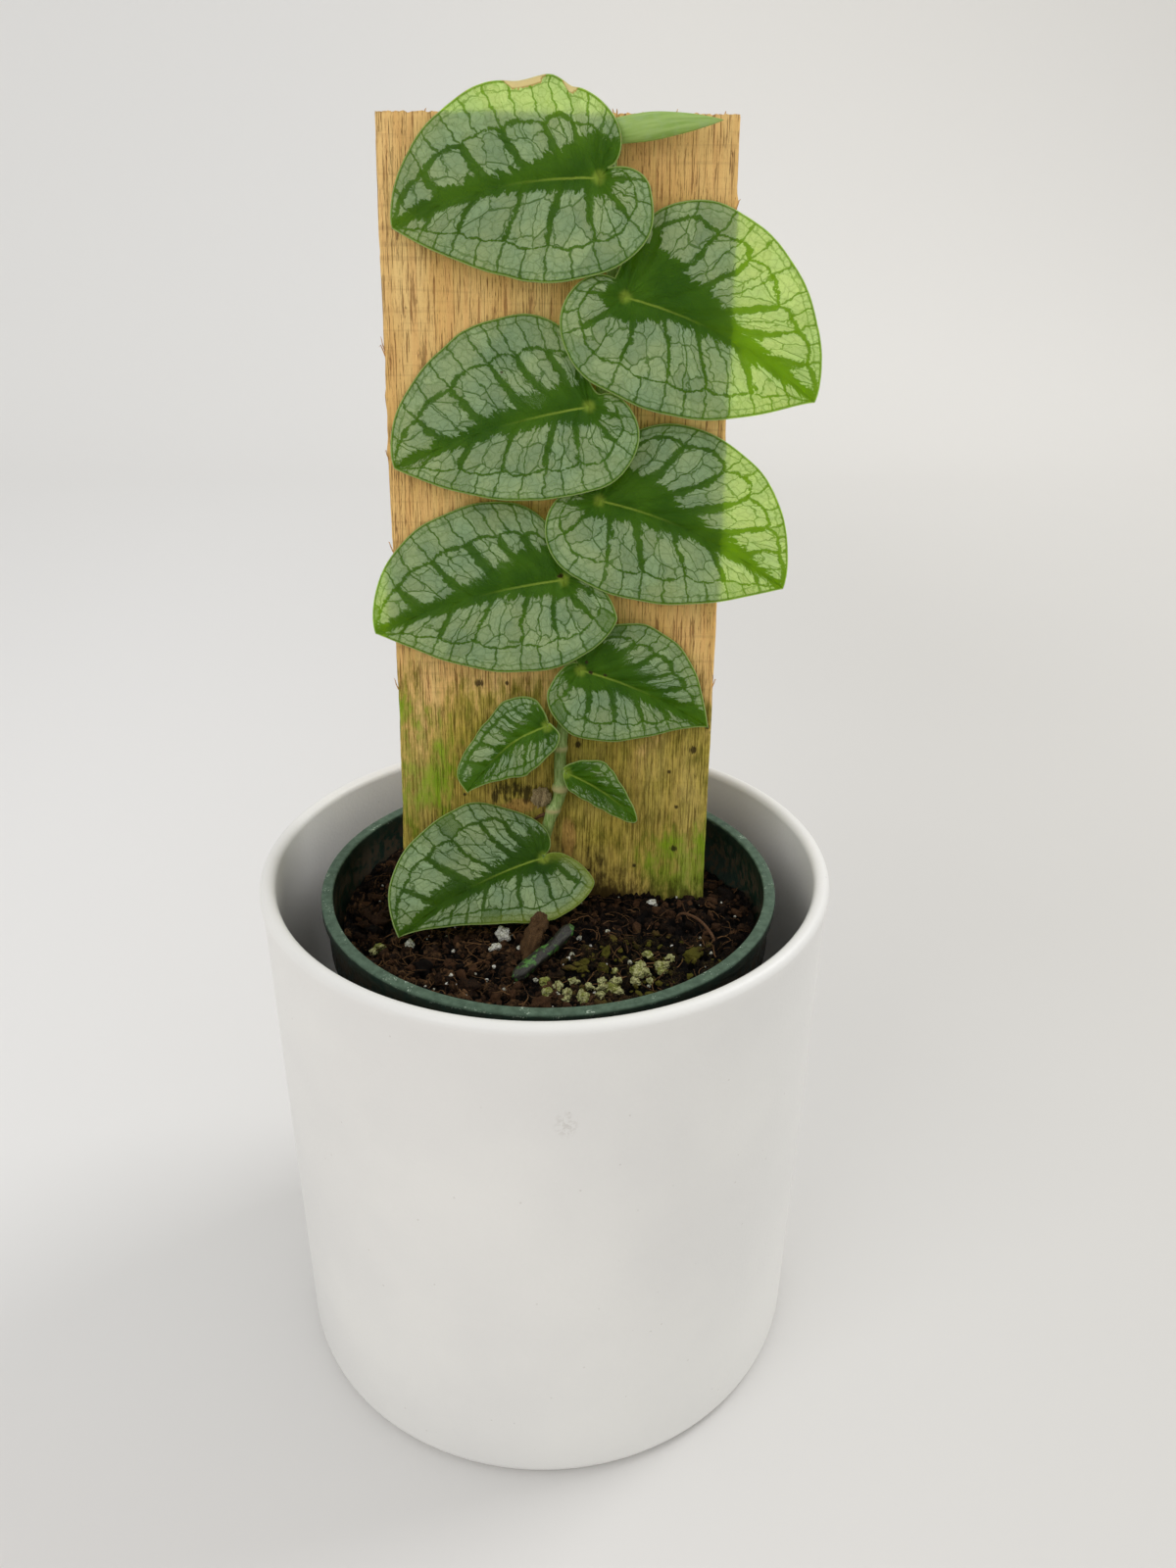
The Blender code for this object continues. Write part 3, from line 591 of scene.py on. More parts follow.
def vein_marks(points_to, half, seed):
    """Shares of midrib and margin that the laterals join, jittered, and the rest of the template."""
    draw = np.random.default_rng(seed)
    lobes, lobe_end, sides, bend = VEINS[points_to, half]
    lobes = [t + draw.uniform(-0.012, 0.012) for t in lobes]
    sides = [(s + draw.uniform(-0.012, 0.012), t + draw.uniform(-0.014, 0.014)) for s, t in sides]
    return lobes, lobe_end, sides, bend


def bumped(name, half, margin):
    """The half outline with its small departures."""
    steps = np.hypot(*np.diff(margin, axis=0).T)
    share = np.concatenate([[0.0], np.cumsum(steps)]) / steps.sum()
    ahead = np.gradient(margin, axis=0)
    ahead /= np.maximum(np.hypot(*ahead.T), 1e-9)[:, None]
    outwards = np.stack([-ahead[:, 1], ahead[:, 0]], 1)
    off = 0.12 * np.sin(share * 37 + len(half) + int(name[-1])) * np.sin(share * math.pi)
    for side, at, spread, far in MARGIN_BUMPS.get(name, []):
        if side == half:
            off = off + far * np.exp(-((share - at) / spread) ** 2)
    return margin + outwards * off[:, None]


def half_blade(name, half, length, columns, rings, seed):
    """A half's grid from the midrib out to the margin, and its fields, all in millimetres."""
    shape = BLADES[name]
    sign = 1.0 if half == "upper" else -1.0
    sinus = (shape["sinus"][0], sign * shape["sinus"][1])
    margin = bumped(name, half, half_outline(shape[half], sinus, length))
    points_to = "left" if shape["tip"][0] < shape["attach"][0] else "right"
    lobes, lobe_end, sides, tipwards = vein_marks(points_to, half, seed)
    lobe_columns = columns // 3
    side_columns = columns - lobe_columns
    rib_share = np.concatenate([np.zeros(lobe_columns), np.linspace(0, 1, side_columns + 1)])
    marks = [(0.0, lobe_end)] + sides + [(1.0, 1.0)]
    edge_share = np.concatenate([
        np.linspace(0, lobe_end, lobe_columns + 1)[:-1],
        np.interp(rib_share[lobe_columns:], [m[0] for m in marks], [m[1] for m in marks]),
    ])
    soft = np.ones(9) / 9
    padded = np.concatenate([2 * edge_share[0] - edge_share[4:0:-1], edge_share, 2 - edge_share[-2:-6:-1]])
    edge_share = np.convolve(padded, soft, "valid")
    edge_share[0], edge_share[-1] = 0.0, 1.0
    counts = np.interp(
        edge_share, [0.0, *lobes, *[t for _, t in sides], 1.0], range(len(lobes) + len(sides) + 2),
    )
    ribs = np.stack([rib_share * length, shape["bow"] * 4 * rib_share * (1 - rib_share) * sign], 1)
    ends = along_line(margin, edge_share)
    chord = ends - ribs
    reach = np.hypot(*chord.T)
    turn = np.stack([chord[:, 1], -chord[:, 0]], 1)
    bend = tipwards * np.minimum(1.0, edge_share / 0.3) * (1 - 0.5 * rib_share)
    middle = ribs + chord * 0.5 + turn * bend[:, None]
    q = np.linspace(0, 1, rings + 1)[None, :, None]
    grid = (1 - q) ** 2 * ribs[:, None] + 2 * q * (1 - q) * middle[:, None] + q ** 2 * ends[:, None]

    across = np.gradient(grid, axis=0)
    outwards = np.gradient(grid, axis=1)
    outwards /= np.maximum(np.hypot(outwards[..., 0], outwards[..., 1]), 1e-9)[..., None]
    wide = np.abs(across[..., 0] * outwards[..., 1] - across[..., 1] * outwards[..., 0])
    per_count = np.maximum(np.gradient(counts), 1e-5)[:, None]
    fields = {
        "lateral": np.repeat(counts[:, None], rings + 1, 1),
        "strip_mm": wide / per_count,
        "out_share": np.repeat(q[..., 0], len(counts), 0),
        "reach_mm": np.repeat(reach[:, None], rings + 1, 1),
        "upper": np.full(grid.shape[:2], 1.0 if sign > 0 else 0.0),
        "collect": np.full(grid.shape[:2], shape["collect"][0 if sign > 0 else 1]),
        "bare_mm": np.full(grid.shape[:2], shape["bare"][0 if sign > 0 else 1]),
    }
    dense = along_line(margin, np.linspace(0, 1, 600))
    fields["rim_mm"] = nearest(grid, dense)
    dry = np.zeros(grid.shape[:2])
    for side, start, end, depth in DRY_MARGINS.get(name, []):
        if side == half:
            window = np.clip(np.minimum(edge_share - start, end - edge_share) / 0.02, 0, 1)[:, None]
            dry = np.maximum(dry, np.clip(window * depth - fields["rim_mm"] + 0.5, 0, 1))
    fields["dry"] = dry
    grid[..., 1] *= sign
    along = grid[..., 0] / length
    rib_y = shape["bow"] * 4 * np.clip(along, 0, 1) * (1 - np.clip(along, 0, 1))
    fields["rib_mm"] = np.hypot(np.minimum(grid[..., 0], 0), grid[..., 1] - rib_y)
    fields["base_mm"] = np.hypot(grid[..., 0], grid[..., 1])
    return grid, fields


def nearest(points, line):
    """How far each point is from the nearest point of a line."""
    flat = points.reshape(-1, 2)
    far = np.empty(len(flat))
    for k in range(0, len(flat), 2000):
        gap = flat[k:k + 2000, None] - line[None]
        far[k:k + 2000] = np.sqrt((gap ** 2).sum(-1).min(1))
    return far.reshape(points.shape[:2])


def relief(name, grid, fields, length):
    """How far the blade's surface stands out: sunk veins, swollen cells, an uneven margin."""
    part = fields["lateral"] % 1.0
    to_vein = np.minimum(part, 1 - part) * fields["strip_mm"]
    out = fields["out_share"]
    inside = out < fields["collect"]
    height = -0.32 * np.exp(-(to_vein / 0.8) ** 2) * np.where(inside, 1 - 0.5 * out, 0.35)
    height -= 0.55 * np.exp(-(fields["rib_mm"] / 1.2) ** 2) * np.clip(1 - 0.8 * grid[..., 0] / length, 0, 1)
    height -= 0.12 * np.exp(-(((out - fields["collect"]) * fields["reach_mm"]) / 0.7) ** 2)
    height += 0.22 * (4 * part * (1 - part)) * np.sin(np.pi * np.clip(out * 1.1, 0, 1))
    seed = int(name[-1]) * 11.0
    wave = np.array([
        noise.noise(Vector((x / 14, y / 14, seed))) for x, y in grid.reshape(-1, 2)
    ]).reshape(out.shape)
    swing = {"leaf_7": 1.8, "leaf_8": 0.9, "leaf_9": 1.6}.get(name, 0.5)
    return height + swing * wave * np.clip(fields["base_mm"] / 8, 0, 1)


def blade(name, skin):
    shape = BLADES[name]
    base, length, along, aside, outward = blade_frame(shape)
    columns, rings = SMALL_GRID if name in SMALL_BLADES else BLADE_GRID
    number = int(name[-1])
    halves = [
        half_blade(name, half, length, columns, rings, number * 10 + k)
        for k, half in enumerate(("upper", "lower"))
    ]
    grids = np.stack([grid for grid, _ in halves])
    fields = {key: np.stack([values[key] for _, values in halves]) for key in halves[0][1]}
    lift = np.stack([relief(name, grids[k], {key: fields[key][k] for key in fields}, length) for k in (0, 1)])
    fields["scar"] = scars(name, grids) + fields.pop("dry")

    flat = grids.reshape(-1, 2)
    _, first, index = np.unique(np.round(flat, 4), axis=0, return_index=True, return_inverse=True)
    index = index.reshape(-1)
    x, y = flat[first, 0], flat[first, 1]
    half_width = np.where(y > 0, shape["upper"][3], shape["lower"][3])
    rise = lift.reshape(-1)[first] - BLADE_DROOP * (y / half_width) ** 2
    inward = np.clip(fields["rim_mm"].reshape(-1)[first] / 0.9, 0, 1)
    thick = BLADE_THICKNESS * (0.3 + 0.7 * inward ** 0.5) / 2
    flat_place = (np.outer(x, along) + np.outer(y, aside)) + np.array(base)[None]
    front = flat_place + np.outer(rise + thick, outward)
    back = flat_place + np.outer(rise - thick, outward)
    count = len(first)

    rows = rings + 1
    faces, corners = [], []
    for k in (0, 1):
        start = k * (columns + 1) * rows
        for quad in grid_faces(columns + 1, rows, start=start):
            ids = [quad[0]]
            for g in quad[1:]:
                if index[g] != index[ids[-1]]:
                    ids.append(g)
            if index[ids[-1]] == index[ids[0]]:
                ids.pop()
            if len(ids) > 2:
                faces.append(tuple(int(index[g]) for g in (ids if k == 0 else ids[::-1])))
                corners.append(ids if k == 0 else ids[::-1])
    flip = along.cross(aside).dot(outward) < 0
    # in the upper half the columns turn clockwise seen from the side that outward points to
    if not flip:
        faces = [face[::-1] for face in faces]
        corners = [face[::-1] for face in corners]
    sheet_faces, sheet_corners = list(faces), list(corners)
    faces += [tuple(v + count for v in face[::-1]) for face in sheet_faces]
    corners += [face[::-1] for face in sheet_corners]

    edges = {}
    for face, ids in zip(sheet_faces, sheet_corners):
        for a in range(len(face)):
            pair = (face[a], face[(a + 1) % len(face)])
            edges[pair] = (ids[a], ids[(a + 1) % len(face)])
    rim_pairs = [(pair, ids) for pair, ids in edges.items() if (pair[1], pair[0]) not in edges]
    centre = np.array([length * 0.3, 0.0])
    rim_point = {}
    extra = []
    for (a, b), ids in rim_pairs:
        for v in (a, b):
            if v not in rim_point:
                rim_point[v] = 2 * count + len(extra)
                away = np.array([x[v], y[v]]) - centre
                away /= np.hypot(*away)
                place = flat_place[v] + away[0] * 0.1 * np.array(along) + away[1] * 0.1 * np.array(aside)
                extra.append(place + rise[v] * np.array(outward))
    for (a, b), ids in rim_pairs:
        faces.append((b, a, rim_point[a], rim_point[b]))
        corners.append([ids[1], ids[0], ids[0], ids[1]])
        faces.append((rim_point[b], rim_point[a], a + count, b + count))
        corners.append([ids[1], ids[0], ids[0], ids[1]])

    points = np.concatenate([front, back, np.array(extra)]) * MM
    turn = np.array(BOARD.to_3x3())
    points = points @ turn.T + np.array(BOARD.translation)
    made = mesh_object(name + "_blade", points.tolist(), faces, skin)
    order = np.array([g for ids in corners for g in ids])
    assert len(order) == len(made.data.loops)
    for key, values in fields.items():
        write_attribute(made, key, values.reshape(-1)[order], "CORNER")
    is_front = [np.full(len(face), 1.0 if k < len(sheet_faces) else 0.0) for k, face in enumerate(faces)]
    write_attribute(made, "front", np.concatenate(is_front), "CORNER")
    sheet = np.concatenate([flat, np.full((len(flat), 1), number * BLADE_OFFSET)], 1)
    write_attribute(made, "flat_mm", sheet[order], "CORNER")
    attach(made, "root")
    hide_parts(name)


# Dark dots on the blades, in millimetres along and aside: middle, radii, strength
DARK_DOTS = {
    "leaf_3": [(18.0, 13.5, 0.5, 0.4, 0.8)],
    "leaf_5": [(0.6, 1.2, 0.8, 0.5, 1.0)],
    "leaf_6": [(0.6, 2.6, 0.5, 0.4, 1.0), (2.8, 0.6, 0.6, 0.5, 0.9), (6.5, 1.5, 0.6, 0.4, 0.8)],
}


def scars(name, grids):
    """How dark brown each place of a blade is, as a negative number."""
    dots = np.zeros(grids.shape[:3])
    for x, y, wide, high, much in DARK_DOTS.get(name, []):
        away = np.hypot((grids[..., 0] - x) / wide, (grids[..., 1] - y) / high)
        dots = np.minimum(dots, -much * np.clip(1.6 - away, 0, 1))
    return dots


def blade_material():
    """Dark veins and silver cells on top, paler below, and lime green where light comes through."""
    paint = Paint("monstera_blade")
    flat = paint.attribute("flat_mm", vector=True)
    _, _, leaf = paint.axes(flat)
    lateral = paint.attribute("lateral")
    strip = paint.attribute("strip_mm")
    out = paint.attribute("out_share")
    reach = paint.attribute("reach_mm")
    rim = paint.attribute("rim_mm")
    rib = paint.attribute("rib_mm")
    base = paint.attribute("base_mm")
    upper = paint.attribute("upper")
    collect = paint.attribute("collect")
    bare_mm = paint.attribute("bare_mm")
    front = paint.attribute("front")
    scar = paint.attribute("scar")

    sway = paint.noise(flat, 0.11, 1.0) - 0.5
    wander = paint.noise(flat, 0.45, 2.0) - 0.5
    fringe = paint.noise(flat, 1.5, 3.0, 0.65) - 0.5
    count = lateral + (sway * 2.6 + wander * 1.6) / strip.most(3.0)
    part = count.part()
    strip_number = count.whole() + upper * 20.0 + leaf * 0.7
    to_lateral = (0.5 - (part - 0.5).size()) * strip
    out_mm = out * reach
    tongue = paint.noise(paint.vector(count * 9.0, out_mm * 0.22, upper * 9.0 + leaf), 1.0, 2.0, 0.6) - 0.5
    brush = paint.noise(paint.vector(count * 22.0, out_mm * 0.55, upper * 5.0 + leaf), 1.0, 2.0, 0.6) - 0.5
    ragged = tongue * 0.9 + brush * 0.6 + fringe * 1.1
    torn = paint.noise(paint.vector(count * 6.0, out_mm * 0.14, upper * 4.0 + leaf), 1.0, 3.0, 0.6) - 0.5

    # inside the collecting vein: dark laterals that thin out towards it
    heavy_one = paint.random(count.math("ROUND") + upper * 20.0 + leaf * 0.7)
    swells = paint.noise(flat, 0.30, 2.0)
    narrowing = 1.0 + upper * 0.65 - out * (0.8 + upper * 0.65)
    half_width = (narrowing * (0.1 + heavy_one * 0.8 + swells * 0.9)).least(strip * 0.18)
    half_width = half_width.most(0.26)
    inner_vein = (to_lateral + ragged * 1.3 + wander * 1.2).step(half_width + 0.22, half_width - 0.12)
    # a thin vein half way between two laterals
    middle = ((part - 0.5 + sway * 0.2).size() * strip + fringe * 0.5).step(0.24, 0.10)
    middle = middle * (paint.random(strip_number + 7.0) - 0.25).step(0.0, 0.1)
    # the collecting vein runs near the margin in shallow arcs from lateral to lateral
    loop_at = collect - 0.015 + part * (1.0 - part) * 0.20 + sway * 0.10
    to_collect = (out - loop_at) * reach + wander * 1.8
    outside = to_collect.step(-0.2, 0.2)
    heavy = (paint.random(strip_number + 3.0) * upper * 0.45 + 0.26) * (swells * 2.0).least(1.6).most(0.4)
    collecting = (to_collect.size() + ragged * (0.7 + upper * 0.5)).step(heavy + 0.18, heavy - 0.12)
    # outside it: a row of squarish cells parted by thin veins
    row_count = lateral * 2.0 + (wander * 4.4 + sway * 4.0) / strip.most(3.0)
    row = row_count.part()
    row_vein = ((0.5 - (row - 0.5).size()) * strip * 0.5 + fringe * 0.45).step(0.34, 0.15)
    row_random = paint.random(row_count.whole() + leaf)

    # long cells inside, parted by thin veins, and a faint finer net in all of them
    outward = out_mm * 0.16 + wander * 0.3 + upper * 7.0 + leaf
    net_place = paint.vector(count * 2.3 + wander * 0.25, outward, 0.0)
    net = paint.cells(net_place, 1.0, randomness=0.9)
    net_random = paint.cell_random(net_place, 1.0, randomness=0.9)
    net_vein = (net + fringe * 0.04).step(0.050, 0.018) * (1.0 - outside * 0.75)
    fine_place = paint.vector(count * 5.5 + wander * 0.8, out_mm * 0.42 + upper * 3.0 + leaf, 0.0)
    fine_net = paint.cells(fine_place, 1.0).step(0.10, 0.02)

    laterals = inner_vein.most(middle * 0.9) * (1.0 - outside)
    rows = row_vein * outside
    second_at = 1.9 + wander * 2.0 + sway * 1.0
    second = ((rim - second_at).size() + fringe * 0.5).step(0.26, 0.10)
    tiny_part = (lateral * 5.3 + wander * 1.6).part()
    tiny = (0.5 - (tiny_part - 0.5).size()).step(0.16, 0.05) * rim.step(second_at, second_at - 0.3)

    # plain green next to the midrib and round the base, with a ragged edge
    plain = bare_mm * 0.62 * (1.0 - base / (bare_mm * 1.15 + 4.0)).most(0.0)
    shiny = leaf.step(262.0, 270.0) * leaf.step(338.0, 330.0)
    plain_random = paint.random(strip_number) * (1.0 + upper * 2.6)
    starts = (plain_random + 2.3) * (1.0 - shiny * 0.36) * (1.2 - base * 0.017).most(0.35) + plain
    rough_start = (torn * (5.5 + upper * 3.5) + brush * 3.0 + fringe * 2.4) * (1.15 - base * 0.014).most(0.4)
    silvered = (rib + rough_start).step(starts - 0.3, starts + 0.25)
    missing = (net_random + (base / (bare_mm * 2.0 + 3.0)).least(1.0) * 1.1).step(0.42, 0.46)
    row_missing = 1.0 - outside * row_random.step(0.95, 0.98) * 0.7
    flecks = paint.noise(flat, 4.5, 2.0, 0.6) - 0.5
    holes = (brush * 1.0 + fringe * 0.7 + flecks * 0.9).step(0.34, 0.28)
    at_rim = (rim + fringe * 0.7).step(0.30, 0.80)
    silver = silvered * missing.most(outside) * row_missing * holes * at_rim
    silver = silver * (1.0 - laterals * 0.96) * (1.0 - collecting * 0.94) * (1.0 - rows * 0.86)
    silver = silver * (1.0 - net_vein * 0.74) * (1.0 - second * 0.55)
    silver = silver * (1.0 - tiny * 0.40) * (1.0 - fine_net * 0.26)
    veil = paint.noise(flat, 0.8, 3.0, 0.6)
    silver = silver * (0.62 + veil * 0.70).least(1.0)

    mottle = paint.noise(flat, 3.2, 4.0, 0.7)
    cloud = paint.noise(flat, 0.12, 3.0)
    deep = leaf.step(345.0, 355.0)
    tone = (0.46 + net_random * 0.24 + mottle * 0.62) * (1.0 - deep * 0.06)
    dark = paint.mix(cloud.step(0.3, 0.7), rgb(60, 112, 6), rgb(86, 138, 14))
    dark = paint.shaded(dark, (0.40 + mottle * 0.56) * (1.0 - deep * 0.30))
    grey = paint.shaded(paint.mix(cloud.step(0.3, 0.7), rgb(156, 186, 142), rgb(178, 200, 146)), tone)
    colour = paint.mix(silver, dark, grey)
    edge = rim.step(0.30, 0.16)
    edge_green = paint.mix(mottle, rgb(150, 184, 84), rgb(180, 202, 128))
    colour = paint.mix(edge, colour, paint.shaded(edge_green, 0.9))
    double = (rim - 0.95).size().step(0.16, 0.04) * (1.0 - upper)
    double = double * paint.noise(flat, 0.3, 1.0).step(0.5, 0.65)
    colour = paint.mix(double * 0.4, colour, rgb(140, 178, 90))
    # pale spot over the stalk, with a streak down the midrib
    streak = (rib + fringe * 0.3).step(0.40, 0.08) * base.step(24.0, 2.0) * front
    pale = (base + wander * 1.2).step(2.2, 0.4).most(streak)
    colour = paint.mix(pale * 0.7, colour, rgb(168, 194, 70))
    yellowed = deep * (1.0 - upper) * (rim + fringe * 2.0).step(3.4, 0.6) * base.step(30.0, 16.0)
    yellow = paint.mix(mottle.step(0.4, 0.6), rgb(132, 160, 40), rgb(176, 178, 84))
    colour = paint.mix(yellowed * 0.55, colour, yellow)
    dry = (scar + fringe * 1.3).step(0.42, 0.62)
    dot = (scar + fringe * 0.5).step(-0.45, -0.6)
    straw = paint.mix(mottle, rgb(204, 180, 132), rgb(222, 208, 166))
    colour = paint.mix(dry, colour, paint.mix(scar.step(0.62, 0.9), rgb(150, 112, 66), straw))
    colour = paint.mix(dot, colour, rgb(60, 36, 22))
    below = paint.mix(silver * 0.35, rgb(110, 150, 72), rgb(140, 172, 108))
    below = paint.shaded(below, 0.8 + mottle * 0.4)
    colour = paint.mix(front, below, colour)

    hills = (silver * 0.30 + mottle * 0.35 - net_vein * 0.30 - fine_net * 0.15 - rows * 0.3
             - laterals * 0.10 + paint.noise(flat, 8.0, 2.0) * 0.12)
    normal = paint.bump(hills, 0.00025, 0.8)
    rough = 0.38 + silver * 0.06 + mottle * 0.12 + dry * 0.3 - shiny * 0.16
    paint.finish(colour, rough, normal, specular=0.16)

    veins = paint.mix(silver.most(pale * 0.5), rgb(138, 178, 2), rgb(206, 224, 92))
    through = paint.mix(dry, veins, rgb(205, 180, 110))
    through = paint.mix(front, rgb(238, 244, 226), through)
    paint.let_through(0.34 + (1.0 - front) * 0.44, through, normal)
    return paint.material


# Stem, stalks and young leaf


def stem_at(up):
    """The stem's middle at a height on the board, all in millimetres."""
    for low, high in zip(STEM_ROUTE, STEM_ROUTE[1:]):
        if low[1] <= up <= high[1]:
            share = (up - low[1]) / (high[1] - low[1])
            return [a + (b - a) * share for a, b in zip(low, high)]
    return list(STEM_ROUTE[-1])


def green_stem_material():
    """Waxy green with lengthwise streaks and paler rings at the nodes."""
    paint = Paint("vine_green")
    ring = paint.attribute("ring")
    place = paint.place
    streaks = paint.noise(paint.scaled(place, (2.4, 2.4, 0.25)), 1.0, 3.0)
    spots = paint.noise(place, 1.6, 3.0, 0.6)
    colour = paint.mix(streaks.step(0.3, 0.7), rgb(108, 142, 56), rgb(172, 194, 120))
    colour = paint.mix((spots - 0.55).step(0.0, 0.12) * 0.5, colour, rgb(132, 122, 66))
    colour = paint.mix(ring, colour, paint.mix(spots, rgb(176, 160, 104), rgb(214, 200, 144)))
    normal = paint.bump(streaks + spots * 0.5, 0.0002, 0.7)
    paint.finish(colour, 0.42 + spots * 0.2, normal)
    paint.let_through(0.15, rgb(150, 190, 60))
    return paint.material


def stem_piece(skin):
    route = smooth_route([on_board(*point) for point in STEM_ROUTE], 10)
    nodes = [12.0, 25.5, 31.5] + [up for up, _ in STALKS.values()]

    def height(share):
        place = BOARD.inverted() @ route[round(share * (len(route) - 1))]
        return place.z / MM

    def radius(share):
        up = height(share)
        swell = sum(0.42 * math.exp(-((up - node) / 1.1) ** 2) for node in nodes)
        waist = 0.10 * noise.noise(Vector((up * 0.13, 3.0, 0.0)))
        return STEM_RADIUS * (0.96 - 0.25 * max(0.0, share - 0.8) / 0.2 + waist) + swell

    made = swept("vine_stem_piece", route, radius, skin, sides=20)
    heights = [(BOARD.inverted() @ vert.co).z / MM for vert in made.data.vertices]
    rings = [max(math.exp(-((up - node) / RING_SPREAD) ** 2) for node in nodes) for up in heights]
    write_attribute(made, "ring", rings)
    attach(made, "root")
    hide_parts("vine_stem")


def stalk_route(name):
    """The stalk's route from the side of the stem to just behind the blade's base."""
    base, _, _, _, outward = blade_frame(BLADES[name])
    end = base - outward * 0.65
    if name == "leaf_9":
        start = stem_at(8.0)
        points = [
            Vector((start[0] + 0.2, -(start[2] + 2.2), 8.2)),
            Vector((start[0] + 0.6, -(start[2] + 3.5), 9.0)),
            end - outward * 0.9, end,
        ]
        return smooth_route(points, 5)
    up, side = STALKS[name]
    start = stem_at(up)
    away = STEM_RADIUS - 0.2
    bend = end - outward * 1.4 - Vector((0.0, 0.0, 0.4))
    points = [
        Vector((start[0] + side * away, -start[2], up)),
        Vector((start[0] + side * (away + 1.2), -(start[2] + 0.2), up + 0.5)),
        Vector((start[0] + side * STALK_BEND, (bend.y - start[2]) / 2, (up + bend.z) / 2)),
        bend,
        end,
    ]
    return smooth_route(points, 6)


def stalk_piece(name, skin):
    route = [BOARD @ (point * MM) for point in stalk_route(name)]

    def radius(share):
        root_end = 0.5 * math.exp(-(share / 0.12) ** 2)
        blade_end = 0.12 * math.exp(-((1 - share) / 0.1) ** 2)
        return STALK_RADIUS * (0.92 + root_end + blade_end)

    def grooved(_, angle):
        return 1.0 + 0.06 * math.cos(2 * angle)

    made = swept(name.replace("leaf", "stalk") + "_piece", route, radius, skin, sides=14, shape=grooved)
    write_attribute(made, "ring", np.zeros(len(made.data.vertices)))
    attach(made, "root")
    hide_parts(name.replace("leaf", "stalk"))


def young_leaf_material():
    paint = Paint("young_leaf_green")
    roll = paint.attribute("roll_mm", vector=True)
    length, turn, _ = paint.axes(roll)
    veins = paint.noise(paint.vector(length * 0.12 + turn * 0.5, turn * 3.0, 0.0), 1.0, 2.0)
    bloom = paint.noise(paint.place, 0.5, 3.0)
    fine = paint.noise(paint.place, 5.0, 3.0)
    colour = paint.mix(veins.step(0.3, 0.7), rgb(150, 184, 88), rgb(178, 206, 116))
    colour = paint.mix((bloom - 0.45).step(0.0, 0.3) * 0.5, colour, rgb(172, 200, 138))
    colour = paint.mix(length.step(25.0, 31.0) * 0.5, colour, rgb(184, 186, 104))
    normal = paint.bump(veins + fine * 0.3, 0.0002, 0.6)
    paint.finish(colour, 0.45 + fine * 0.1, normal)
    paint.let_through(0.25, rgb(160, 200, 70))
    return paint.material


def young_leaf(skin):
    """The youngest leaf, rolled up: a spindle whose outer margin laps over itself."""
    base = Vector((ROLL_BASE[0], -ROLL_BASE[2], ROLL_BASE[1]))
    tip = Vector((ROLL_TIP[0], -ROLL_TIP[2], ROLL_TIP[1]))
    along = (tip - base).normalized()
    length = (tip - base).length
    aside = (Vector((0, 0, 1)) - along * along.z).normalized()
    outward = along.cross(aside)
    rows, sides = 72, 56
    points, rolls = [], []
    for i in range(rows):
        share = 0.012 + 0.986 * i / (rows - 1)
        belly = (share ** 0.45) * ((1 - share) ** 0.9) * 2.05
        bulge = 1 + 0.05 * noise.noise(Vector((share * 5, 0.7, 0.0)))
        lap_at = math.radians(205) + share * 0.9
        for k in range(sides):
            angle = math.tau * k / sides
            round_from_lap = (angle - lap_at) % math.tau / math.tau
            lap = 1.0 + 0.16 * (1 - round_from_lap) ** 3 * min(1.0, share * 6)
            high = math.sin(angle) * belly * ROLL_HEIGHT * 0.39 * lap * bulge
            deep = math.cos(angle) * belly * ROLL_DEPTH / 2 * lap
            sag = 0.5 * math.sin(share * 3.0) + 0.9 * (1 - share)
            place = base + along * length * share + aside * (high + sag) + outward * deep
            points.append(BOARD @ (place * MM))
            rolls.append((length * share, round_from_lap * 6.0, 0.0))
    faces = tube_faces(rows, sides)
    faces.append(tuple(range(sides - 1, -1, -1)))
    faces.append(tuple((rows - 1) * sides + k for k in range(sides)))
    made = mesh_object("rolled_leaf", points, faces, skin)
    write_attribute(made, "roll_mm", rolls)
    face_outwards(made)
    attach(made, "root")
    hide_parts("new_leaf")


def face_outwards(made):
    shell = bmesh.new()
    shell.from_mesh(made.data)
    bmesh.ops.recalc_face_normals(shell, faces=shell.faces)
    shell.to_mesh(made.data)
    shell.free()


# Board


